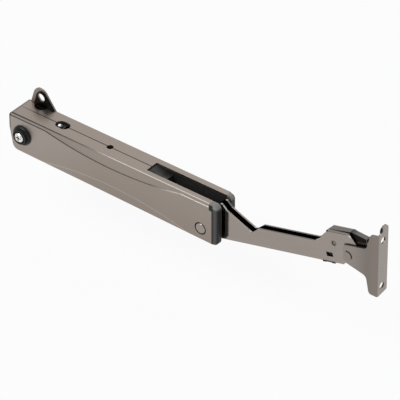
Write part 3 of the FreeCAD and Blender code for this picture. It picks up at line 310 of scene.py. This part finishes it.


# Painted shade and painted highlights on the arm and its head.
# Places on the arm are along it from the pivot and above its middle line
ARM_FRONT = -11.5 * MM
CROSS_PIN = mm(97.3, 5.1)
DIMPLE = mm(1.55, 0.5)
DIMPLE_DARK = 0.6
LOCK_STRIP = (90.2 * MM, 5.2 * MM, 12.5)
LOCK_STRIP_TOP = -7.6 * MM
LOCK_STRIP_DARK = 0.8
THROAT = (110 * MM, 5.0 * MM, 10.0)
THROAT_HEIGHT = mm(6.2, 0.9)
THROAT_DARK = 0.9
HEAD = (101 * MM, 8 * MM, 5.0)
HEAD_TOP = mm(12.7, 0.7)
HEAD_TOP_DARK = 0.5
HEAD_CORNER = mm(110.6, 12.0)
HEAD_CORNER_GLINT = mm(0.0, 1.3)
NOSE = mm(17.2, 13.4)
NOSE_FRONT = -10.8 * MM
NOSE_GLINT = (0.0, 2.6 * MM, 1.8)
GLINT_LIGHT = 0.9
CHANNEL_HALF_WIDTH = 2.2 * MM
CHANNEL_REACH = 5 * MM
CHANNEL_GAIN = 2
CHANNEL_DARK = 0.85


def arm_axes(material):
    """Places along the arm from its pivot, above its middle line, and in depth."""
    x, y, z = material.axes()
    across = x - PIVOT.x
    up = z - PIVOT.z
    along = across * math.cos(ARM_ANGLE) + up * math.sin(ARM_ANGLE)
    above = up * math.cos(ARM_ANGLE) - across * math.sin(ARM_ANGLE)
    return along, above, y


def arm_lines(material):
    """Painted shade in the dimple round the cross pin, in a strip under the head by the lock, in
    the throat, along the head's upper edge and in the channel, and painted highlights on the
    head's corner and the arm's nose."""
    along, above, y = arm_axes(material)

    def round_place(place, line):
        return distance(along - place[0], above - place[1]).near(*line)

    front = y < ARM_FRONT
    dark = round_place(CROSS_PIN, DIMPLE) * DIMPLE_DARK
    dark = dark + along.near(*LOCK_STRIP) * (above < LOCK_STRIP_TOP) * LOCK_STRIP_DARK
    dark = dark + along.near(*THROAT) * above.near(*THROAT_HEIGHT) * THROAT_DARK
    dark = dark + along.near(*HEAD) * above.near(*HEAD_TOP) * HEAD_TOP_DARK
    corner = round_place(HEAD_CORNER, HEAD_CORNER_GLINT) * front
    nose = round_place(NOSE, NOSE_GLINT) * (y < NOSE_FRONT)
    channel = (material.corners(CHANNEL_REACH) * CHANNEL_GAIN).clamp() * CHANNEL_DARK
    channel = channel * ((y - SEAM).size() < CHANNEL_HALF_WIDTH) * (1 - nose)
    light = (corner + nose) * GLINT_LIGHT
    return (light.clamp(), GLINT), ((dark * front + channel).clamp(), SHADE)


# Painted shade and light on the bracket: a painted shadow beside the rivet's head, painted shade
# on the lobe's neck, and painted light and shade across the web and on the flange's outer face.
WEB_FRONT = -12.6 * MM
NEAR_BLACK = 0.95
RIVET_RING = (2.8 * MM, 0.7 * MM, 2.0)
RIVET_SHADE_WAY = (0.67, 0.74)
RIVET_SHADE_SIDE = mm(0.5, 1.7)
NECK_DEPTH = mm(-9.9, -9.2)
NECK_LEFT = mm(260.4, 261.0)
NECK_DARK = (0.0, (mm(42.0, 42.8), NEAR_BLACK), (mm(46.4, 47.4), -NEAR_BLACK))
WEB_DARK = (0.0, (mm(246, 253), 0.08), (mm(255, 259), -0.08))
WEB_LIGHT = (0.1, (mm(243, 256), -0.1))
FLANGE_LIGHT = (0.0, (mm(262.3, 262.7), 0.2))


def bracket_lines(material):
    """A painted shadow in a crescent beside the rivet's head, painted shade on the lobe's dark
    neck, and painted light and shade across the web and on the flange.
    """
    x, y, z = material.axes()
    web = y < WEB_FRONT
    across = x - RIVET.x
    up = z - RIVET.z
    upper_right = across * RIVET_SHADE_WAY[0] + up * RIVET_SHADE_WAY[1]
    crescent = distance(across, up).near(*RIVET_RING) * upper_right.rising(*RIVET_SHADE_SIDE)
    neck = z.tone(*NECK_DARK) * y.falling(*NECK_DEPTH) * x.rising(*NECK_LEFT)
    dark = (crescent * NEAR_BLACK + x.tone(*WEB_DARK)) * web + neck
    light = x.tone(*WEB_LIGHT) * web + x.tone(*FLANGE_LIGHT)
    return (light, GLINT), (dark.clamp(), SHADE)


# Painted shade on the adapter under the arm's head.
ADAPTER_SIDE = (-10.8 * MM, 0.2 * MM, 10 / 3)
ADAPTER_SIDE_DARK = 0.8
SLOPE_START = mm(109.8, 110.6)
SLOPE_HEIGHT = mm(8.5, 9.5)
SLOPE_DARK = (0.8, (mm(111.5, 115.0), -0.24))
LEFT_END_HEIGHT = mm(9.0, 10.0)
LEFT_END_DARK = (0.5, (mm(93.2, 94.4), -0.5))


def adapter_lines(material):
    """Painted shade on the adapter's side under its lid, on the lid's slope and on its left end.
    """
    along, above, y = arm_axes(material)
    slope = along.rising(*SLOPE_START) * above.rising(*SLOPE_HEIGHT) * along.tone(*SLOPE_DARK)
    left_end = above.rising(*LEFT_END_HEIGHT) * along.tone(*LEFT_END_DARK)
    side = y.near(*ADAPTER_SIDE) * ADAPTER_SIDE_DARK
    return (((side + slope + left_end).clamp(), SHADE),)


# The black plastic. Its finish also serves the lock in the arm's head, far right of the case.
SLOT_HALF_WIDTH = 4.9 * MM
SLOT_TOP = 12.6 * MM
SLOT_DEEP = mm(99.0, 101.5)
SLOT_HIDDEN = 0.3
SLOT_LIT = mm(92, 94)
SLOT_LIGHT = (0.08, (mm(105, 112), 0.06))
LOCK_LEFT = 152 * MM
LOCK_HIDDEN = 0.55
EAR_FOOT = 13.2 * MM
EAR_RIGHT = 14 * MM
EAR_HIDDEN = 0.85
PIN_RING_RADIUS = 4.6 * MM
CAP_LEFT = 143.2 * MM
CAP_FACE = mm(-17.4, -17.9)
CAP_FACE_LEFT = mm(146.4, 147.0)
CAP_FACE_LIGHT = 0.18
CAP_TOP = mm(12.2, 13.0)
CAP_END_TOP = mm(10.0, 11.5)
CAP_END_LEFT = 146.2 * MM
CAP_TOP_LIGHT = 0.65


def in_slot(y, z):
    """1 in the width of the slot in which the arm runs, below the case's top."""
    return ((y - SEAM).size() < SLOT_HALF_WIDTH) * (z < SLOT_TOP)


def liner_recesses(material):
    """What lies out of the light: the ear's plate, the inside of the slot, the lock and the
    ring round the pin."""
    x, y, z = material.axes()
    ear = (z > EAR_FOOT) * (x < EAR_RIGHT)
    ring = (distance(x - PIVOT.x, z - PIVOT.z) < PIN_RING_RADIUS) * (y < CASE_FRONT)
    inside = x.rising(*SLOT_DEEP) * in_slot(y, z)
    inside = inside * ((x > LOCK_LEFT) * LOCK_HIDDEN + SLOT_HIDDEN)
    return (ear * EAR_HIDDEN + inside + ring).clamp()


def cap_faces(material):
    """Painted light in the liner's pale edge colour: a little on the cap's front, more on its
    top, and some on the slot's inside.
    """
    x, y, z = material.axes()
    front = y.rising(*CAP_FACE) * x.rising(*CAP_FACE_LEFT)
    top = (z.rising(*CAP_TOP) + z.rising(*CAP_END_TOP) * (x > CAP_END_LEFT)).clamp()
    cap = (front * CAP_FACE_LIGHT + top * CAP_TOP_LIGHT) * (x > CAP_LEFT)
    inside = x.rising(*SLOT_LIT) * (x < LOCK_LEFT) * in_slot(y, z) * x.tone(*SLOT_LIGHT)
    return (cap + inside).clamp()


# Finishes. A pattern's scale is its cells to a metre, and a number beside a pattern or a mask
# in a sum is the share that it has.

PLATE_STROKES = (45, 900, 900)
PLATE_CLOUDS = 38.0
PLATE_GRAIN = 5200.0
PLASTIC_GRAIN = 2600.0
PLASTIC_CLOUDS = 60.0
TURNED_RINGS = (60, 2600, 60)
TURNED_CLOUDS = 90.0
ZINC_SKIN = 900.0
ZINC_CLOUDS = 70.0


def satin_nickel(name, colour, darker, roughness=0.4, brush=(0, 0, 0), edge_wear_and_light=0.25, reach=0.9 * MM,
                 lines=None):
    """Satin nickel plate: long faint strokes, cloudy tone and a fine grain, with painted shade
    in corners, edges paler partly from wear and partly as painted highlight, and each piece's
    painted lines.
    """
    material = Material(name)
    strokes = material.noise(material.place(scale=PLATE_STROKES, turn=brush), 1.0, detail=4.0)
    clouds = material.noise(material.place(), PLATE_CLOUDS, detail=2.0)
    grain = material.noise(material.place(), PLATE_GRAIN, detail=2.0)
    worn_and_lit_edges = material.edges(width=0.3 * MM)
    corner_shade = material.corners(reach)
    tone = (strokes * 0.5 + clouds * 0.35 + grain * 0.15).clamp()
    base = material.mix(tone, darker, colour)
    # Painted shade in corners and gaps.
    base = material.mix(corner_shade * 0.75, base, SHADE)
    # Edges lightened, partly as wear and partly as painted highlight.
    base = material.mix(worn_and_lit_edges * (1 - corner_shade) * edge_wear_and_light, base, GLINT)
    for mask, paint in lines(material) if lines else ():
        base = material.mix(mask, base, paint)
    rough = strokes * 0.08 + clouds * 0.06 + corner_shade * 0.15 + (roughness - 0.07)
    relief = material.bump(strokes * 0.5 + grain * 0.5, strength=0.05, depth=0.02 * MM)
    return material.principled(base, rough, 1.0, relief)


def moulded_plastic(name, colour, sheen, edge, edge_wear_and_light=0.5, width=0.6 * MM, specular=0.5,
                    hidden=None, painted_light=None):
    """Injection-moulded plastic with a spark-eroded grain and flow clouds, edges paler partly
    from wear and partly as painted highlight, painted shade in corners, and painted light where
    a mask asks. What is hidden from the light is painted a black that mirrors almost nothing, as
    painted shade."""
    material = Material(name)
    grain = material.noise(material.place(), PLASTIC_GRAIN, detail=3.0)
    clouds = material.noise(material.place(), PLASTIC_CLOUDS, detail=2.0)
    worn_and_lit_edges = material.edges(width)
    shaded = material.corners(1.4 * MM)
    base = material.mix((clouds * 0.7 + grain * 0.3).clamp(), colour, sheen)
    # Edges lightened, partly as wear and partly as painted highlight.
    base = material.mix(worn_and_lit_edges * (1 - shaded) * edge_wear_and_light, base, edge)
    # Painted light on the faces that this mask marks, in the pale edge colour.
    if painted_light:
        base = material.mix(painted_light(material), base, edge)
    # Painted shade: corners and gaps are darkened towards black.
    base = material.mix(shaded, base, BLACK)
    # Painted shade: where the plastic lies out of the light it is painted black and made
    # metallic, so that it mirrors almost nothing.
    metallic = 0.0
    if hidden:
        metallic = hidden(material)
        base = material.mix(metallic, base, BLACK)
    rough = grain * 0.16 + clouds * 0.08 + shaded * 0.3 + 0.26
    relief = material.bump(grain, strength=0.12, depth=0.03 * MM)
    return material.principled(base, rough, metallic, relief, Specular_IOR_Level=specular)


def turned_steel(name, colour, darker, roughness=0.24):
    """Bright turned or ground steel with fine rings or strokes, painted shade in its corners and
    edges paler partly from wear and partly as painted highlight.
    """
    material = Material(name)
    rings = material.noise(material.place(scale=TURNED_RINGS), 1.0, detail=2.0)
    clouds = material.noise(material.place(), TURNED_CLOUDS, detail=2.0)
    corner_shade = material.corners(0.8 * MM)
    worn_and_lit_edges = material.edges(width=0.2 * MM)
    base = material.mix((rings * 0.6 + clouds * 0.4).clamp(), darker, colour)
    # Painted shade in corners and gaps.
    base = material.mix(corner_shade * 0.85, base, SHADE)
    # Edges lightened, partly as wear and partly as painted highlight.
    base = material.mix(worn_and_lit_edges * (1 - corner_shade) * 0.3, base, GLINT)
    rough = rings * 0.14 + clouds * 0.06 + (roughness - 0.1)
    relief = material.bump(rings, strength=0.05, depth=0.02 * MM)
    return material.principled(base, rough, 1.0, relief)


def cast_zinc(name, colour, darker):
    """Die-cast zinc with a pebbled skin."""
    material = Material(name)
    skin = material.noise(material.place(), ZINC_SKIN, detail=4.0)
    clouds = material.noise(material.place(), ZINC_CLOUDS, detail=2.0)
    base = material.mix((skin * 0.4 + clouds * 0.6).clamp(), darker, colour)
    # Painted shade in corners and gaps.
    base = material.mix(material.corners(1.5 * MM) * 0.6, base, SHADE)
    relief = material.bump(skin, strength=0.2, depth=0.04 * MM)
    return material.principled(base, skin * 0.2 + 0.42, 1.0, relief)


FINISHES = {
    "satin_shell": satin_nickel("satin_shell", srgb(163, 151, 142), srgb(147, 136, 127),
                                lines=case_lines),
    "satin_arm": satin_nickel("satin_arm", srgb(166, 156, 149), srgb(150, 141, 134),
                              roughness=0.13, brush=(0, ARM_ANGLE, 0), lines=arm_lines),
    "satin_bracket": satin_nickel("satin_bracket", srgb(148, 138, 131), srgb(132, 122, 115),
                                  brush=(0, QUARTER_TURN, 0), edge_wear_and_light=0.15, reach=0.35 * MM,
                                  lines=bracket_lines),
    "dark_adapter": satin_nickel("dark_adapter", srgb(152, 146, 141), srgb(134, 128, 122),
                                 roughness=0.3, edge_wear_and_light=0.12, lines=adapter_lines),
    "black_liner": moulded_plastic("black_liner", srgb(16, 16, 16), srgb(28, 28, 28),
                                   srgb(152, 150, 148), edge_wear_and_light=0.28, specular=0.3,
                                   hidden=liner_recesses, painted_light=cap_faces),
    "bright_screw": turned_steel("bright_screw", srgb(254, 252, 249), srgb(240, 237, 232),
                                 roughness=0.34),
    "pivot_steel": turned_steel("pivot_steel", srgb(172, 162, 153), srgb(150, 140, 132)),
    "block_metal": cast_zinc("block_metal", srgb(104, 103, 101), srgb(84, 83, 82)),
    "spring_steel": turned_steel("spring_steel", srgb(98, 97, 98), srgb(74, 73, 75),
                                 roughness=0.34),
    "bearing_plastic": moulded_plastic("bearing_plastic", srgb(216, 213, 204),
                                       srgb(228, 226, 219), srgb(240, 239, 235)),
}
OWN_FINISHES = {
    "lower_fixing_bush": moulded_plastic("black_collar", srgb(14, 14, 14), srgb(24, 24, 24),
                                         srgb(120, 118, 116), edge_wear_and_light=0.35, width=0.25 * MM,
                                         specular=0.25),
    "adapter_pin": satin_nickel("dull_pin", srgb(146, 137, 130), srgb(128, 119, 112),
                                roughness=0.5, edge_wear_and_light=0.05),
}
RIVET_FINISH = satin_nickel("satin_rivet", srgb(164, 153, 146), srgb(150, 139, 132),
                            roughness=0.5, edge_wear_and_light=0.02, reach=0.15 * MM)


def dress_nodes():
    """Gives every CAD node its own finish, or that of its slot in the record."""
    slots = {part["node"]: part["material_slot"] for part in RECORD["subparts"]}
    for name, node in NODES.items():
        finish = OWN_FINISHES.get(name, FINISHES[slots[name]])
        if not node.material_slots:
            node.data.materials.append(finish)
        for place in node.material_slots:
            place.material = finish


dress_nodes()


# Wound and turned pieces

SAME_POINT = 0.001 * MM
SAME_PLANE = 0.01 * MM


def wind(name, axis, centre, out, facing, sides, thickness, pitch, turns, steps, angle=360.0):
    """A closed coil: a ring of some sides, set out from the centre and wound round an axis."""
    bpy.ops.object.select_all(action="DESELECT")
    bpy.ops.mesh.primitive_circle_add(vertices=sides, radius=thickness, fill_type="NOTHING",
                                      location=centre, rotation=facing)
    coil = bpy.context.object
    coil.name = name
    bpy.ops.object.transform_apply(location=False, rotation=True, scale=True)
    bpy.ops.object.mode_set(mode="EDIT")
    bpy.ops.mesh.select_all(action="SELECT")
    bpy.ops.transform.translate(value=out)
    bpy.ops.object.mode_set(mode="OBJECT")
    winding = coil.modifiers.new("winding", "SCREW")
    winding.axis = axis
    winding.angle = math.radians(angle)
    winding.screw_offset = pitch
    winding.iterations = turns
    winding.steps = winding.render_steps = steps
    bpy.ops.object.modifier_apply(modifier=winding.name)
    bpy.ops.object.mode_set(mode="EDIT")
    bpy.ops.mesh.select_all(action="SELECT")
    bpy.ops.mesh.remove_doubles(threshold=SAME_POINT)
    bpy.ops.mesh.fill_holes(sides=sides)
    bpy.ops.mesh.select_all(action="SELECT")
    bpy.ops.mesh.normals_make_consistent(inside=False)
    bpy.ops.object.mode_set(mode="OBJECT")
    bpy.ops.object.transform_apply(location=True, rotation=True, scale=True)
    return coil


def surface(piece, finish, crease):
    """Smooths a new piece except at creases above some degrees, and gives it its finish."""
    bpy.ops.object.shade_smooth_by_angle(angle=math.radians(crease))
    piece.data.materials.append(finish)


# Thread of the fixing screw, which the solids leave plain
THREAD_RADIUS = 2.5 * MM
THREAD_RIDGE = 0.45 * MM
THREAD_SIDES = 3
THREAD_START = 0.75 * MM
THREAD_PITCH = 1.25 * MM
THREAD_TURNS = 5
THREAD_STEPS = 28
THREAD_CREASE = 35


def make_thread():
    """A sharp ridge wound round the screw's shank behind the case."""
    thread = wind("fixing_screw_thread", axis="Y", centre=(0, THREAD_START, 0),
                  out=(THREAD_RADIUS, 0, 0), facing=(0, 0, -QUARTER_TURN), sides=THREAD_SIDES,
                  thickness=THREAD_RIDGE, pitch=THREAD_PITCH, turns=THREAD_TURNS,
                  steps=THREAD_STEPS)
    surface(thread, FINISHES["bright_screw"], THREAD_CREASE)
    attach(thread, "case")


make_thread()


# The bracket's rivet, with the flatter and smaller head that the photograph shows: its height
# is a share of the solid's. The crown is made in steps, each a share of that height and how
# much of its width the rim keeps.
RIVET_SHANK = 2.0 * MM
RIVET_HEAD = 2.55 * MM
RIVET_GAP = 0.05 * MM
RIVET_SIDES = 56
RIVET_HEIGHT = 0.7
RIVET_CROWN = ((0.0, RIVET_HEAD / RIVET_SHANK), (0.5, 1.0), (0.3, 0.93), (0.2, 0.8))
RIVET_CREASE = 40


def make_rivet():
    """A turned rivet with a low crowned head at each end."""
    near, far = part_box("bracket_rivet")
    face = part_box("flap_bracket")[0].y - RIVET_GAP
    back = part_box("lever_arm")[1].y + RIVET_GAP
    middle = (RIVET.x, (face + back) / 2, RIVET.z)
    bpy.ops.object.select_all(action="DESELECT")
    bpy.ops.mesh.primitive_cylinder_add(vertices=RIVET_SIDES, radius=RIVET_SHANK,
                                        depth=back - face, location=middle,
                                        rotation=(QUARTER_TURN, 0, 0))
    rivet = bpy.context.object
    rivet.name = "bracket_rivet_turned"
    bpy.ops.object.transform_apply(location=True, rotation=True, scale=True)
    bpy.ops.object.mode_set(mode="EDIT")
    bpy.ops.mesh.select_mode(type="FACE")
    for base, tip in ((face, near.y), (back, far.y)):
        mesh = bmesh.from_edit_mesh(rivet.data)
        for facet in mesh.faces:
            facet.select_set(abs(facet.calc_center_median().y - base) < SAME_PLANE)
        bmesh.update_edit_mesh(rivet.data)
        for share, scale in RIVET_CROWN:
            rise = (0, (tip - base) * RIVET_HEIGHT * share, 0)
            bpy.ops.mesh.extrude_region_move(TRANSFORM_OT_translate={"value": rise})
            bpy.ops.transform.resize(value=(scale, 1, scale), center_override=middle)
    bpy.ops.mesh.select_all(action="SELECT")
    bpy.ops.mesh.normals_make_consistent(inside=False)
    bpy.ops.object.mode_set(mode="OBJECT")
    surface(rivet, RIVET_FINISH, RIVET_CREASE)
    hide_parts("bracket_rivet")
    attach(rivet, "arm")


make_rivet()


# The two springs, each in two halves that meet in its middle: one half rides on the abutment,
# the other on the carriage. They are wound as in the solids, but of round wire, and each turn is
# a little short, so that the halves don't touch.
SPRING_WIRE = 0.65 * MM
SPRING_RADIUS = 4.1 * MM
SPRING_SIDES = 10
SPRING_TURNS = 4
SPRING_TURN = 359.4
SPRING_STEPS = 24
SPRING_CREASE = 50


def make_half_spring(node, body, joint, start, end, anchor, middle):
    """Half of a spring, wound from start to end, that rides on body."""
    spring = wind(f"{node}_at_{body}", axis="X", centre=(start, SEAM, middle.z),
                  out=(0, 0, SPRING_RADIUS), facing=(QUARTER_TURN, 0, 0), sides=SPRING_SIDES,
                  thickness=SPRING_WIRE, pitch=(end - start) / SPRING_TURNS,
                  turns=SPRING_TURNS, steps=SPRING_STEPS, angle=SPRING_TURN)
    surface(spring, FINISHES["spring_steel"], SPRING_CREASE)
    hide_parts(node)
    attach(spring, body)
    1 - JOINTS[joint]["range_m"][1] / abs(middle.x - anchor)
    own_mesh(spring)


def make_springs():
    """Both springs, half of each at the abutment and half at the carriage."""
    for node in ("upper_spring", "lower_spring"):
        low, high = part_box(node)
        middle = (low + high) / 2
        make_half_spring(node, "abutment", "abutment_slide", low.x + SPRING_WIRE, middle.x,
                         low.x, middle)
        make_half_spring(node, "carriage", "carriage_slide", middle.x, high.x - SPRING_WIRE,
                         high.x, middle)


make_springs()


# Floor, light and camera. The camera sees the floor and the world as white, and shiny pieces
# mirror a pale floor.

MIDDLE = 0.12
FLOOR_HEIGHT = -0.055
FLOOR_SIZE = 8.0
FLOOR_PAINT = (0.8, 0.8, 0.8, 1)
FLOOR_SEEN = 0.9
FLOOR_MIRRORED = 0.55
WHITE = (1, 1, 1, 1)
WORLD_COLOUR = (0.86, 0.88, 0.9, 1)
WORLD_STRENGTH = 0.55
# Name, place, size and power of each softbox
LAMPS = (
    ("key_softbox", (-0.35, -0.75, 1.1), (0.9, 0.7), 9.0),
    ("back_softbox", (-0.3, 0.9, 0.9), (1.2, 0.6), 2.3),
    ("side_softbox", (1.2, -0.2, 0.7), (0.7, 0.7), 2.5),
)
# Angles in degrees, lens and sensor in millimetres
CAMERA_AZIMUTH = 38.443
CAMERA_HEIGHT = 35.866
CAMERA_DISTANCE = 2.5275
CAMERA_AIM = (0.12127, 0.00158, -0.00482)
CAMERA_LENS = 383.8
CAMERA_SENSOR = 36.0
CAMERA_NEAREST = 0.05
CAMERA_FARTHEST = 50.0


def make_floor():
    """A pale floor that keeps a faint shadow of the object."""
    bpy.ops.object.select_all(action="DESELECT")
    bpy.ops.mesh.primitive_plane_add(size=FLOOR_SIZE, location=(MIDDLE, 0, FLOOR_HEIGHT))
    floor = bpy.context.object
    floor.name = "floor"
    material = Material("floor_white")
    camera, glossy = material.node("ShaderNodeLightPath", {},
                                   output=("Is Camera Ray", "Is Glossy Ray"))
    paint = material.node("ShaderNodeBsdfDiffuse", {}, Color=FLOOR_PAINT)
    glow = material.node("ShaderNodeEmission", {}, Color=WHITE)
    mixed = material.node("ShaderNodeMixShader", {},
                          camera * FLOOR_SEEN + glossy * FLOOR_MIRRORED, paint, glow)
    floor.data.materials.append(material.finish(mixed))


def make_world():
    """A pale studio all round, which the camera sees as plain white."""
    world = bpy.data.worlds.new("studio")
    bpy.context.scene.world = world
    studio = Shading(world)
    camera = studio.node("ShaderNodeLightPath", {}, output="Is Camera Ray")
    pale = studio.node("ShaderNodeBackground", {}, Color=WORLD_COLOUR, Strength=WORLD_STRENGTH)
    white = studio.node("ShaderNodeBackground", {}, Color=WHITE, Strength=1.0)
    mixed = studio.node("ShaderNodeMixShader", {}, camera, pale, white)
    studio.node("ShaderNodeOutputWorld", {}, Surface=mixed, output=())


def make_lamp(name, place, size, power):
    """A softbox that faces the object's middle."""
    lamp = bpy.data.lights.new(name, "AREA")
    lamp.shape = "RECTANGLE"
    lamp.size, lamp.size_y = size
    lamp.energy = power
    holder = bpy.data.objects.new(name, lamp)
    bpy.context.scene.collection.objects.link(holder)
    holder.location = place
    aim = Vector((MIDDLE, 0, 0)) - Vector(place)
    holder.rotation_euler = aim.to_track_quat("-Z", "Y").to_euler()


def make_camera():
    """A long lens from the front, the right and above, as the photograph was taken."""
    azimuth = math.radians(CAMERA_AZIMUTH)
    height = math.radians(CAMERA_HEIGHT)
    back = Vector((math.sin(azimuth) * math.cos(height), -math.cos(azimuth) * math.cos(height),
                   math.sin(height)))
    right = Vector((math.cos(azimuth), math.sin(azimuth), 0))
    up = back.cross(right)
    lens = bpy.data.cameras.new("camera")
    lens.sensor_width = CAMERA_SENSOR
    lens.lens = CAMERA_LENS
    lens.clip_start = CAMERA_NEAREST
    lens.clip_end = CAMERA_FARTHEST
    camera = bpy.data.objects.new("camera", lens)
    bpy.context.scene.collection.objects.link(camera)
    turn = Matrix((right, up, back)).transposed().to_4x4()
    camera.matrix_world = Matrix.Translation(Vector(CAMERA_AIM) + back * CAMERA_DISTANCE) @ turn
    bpy.context.scene.camera = camera


make_floor()
make_world()
for softbox in LAMPS:
    make_lamp(*softbox)
make_camera()

bpy.context.scene.view_settings.view_transform = "Standard"
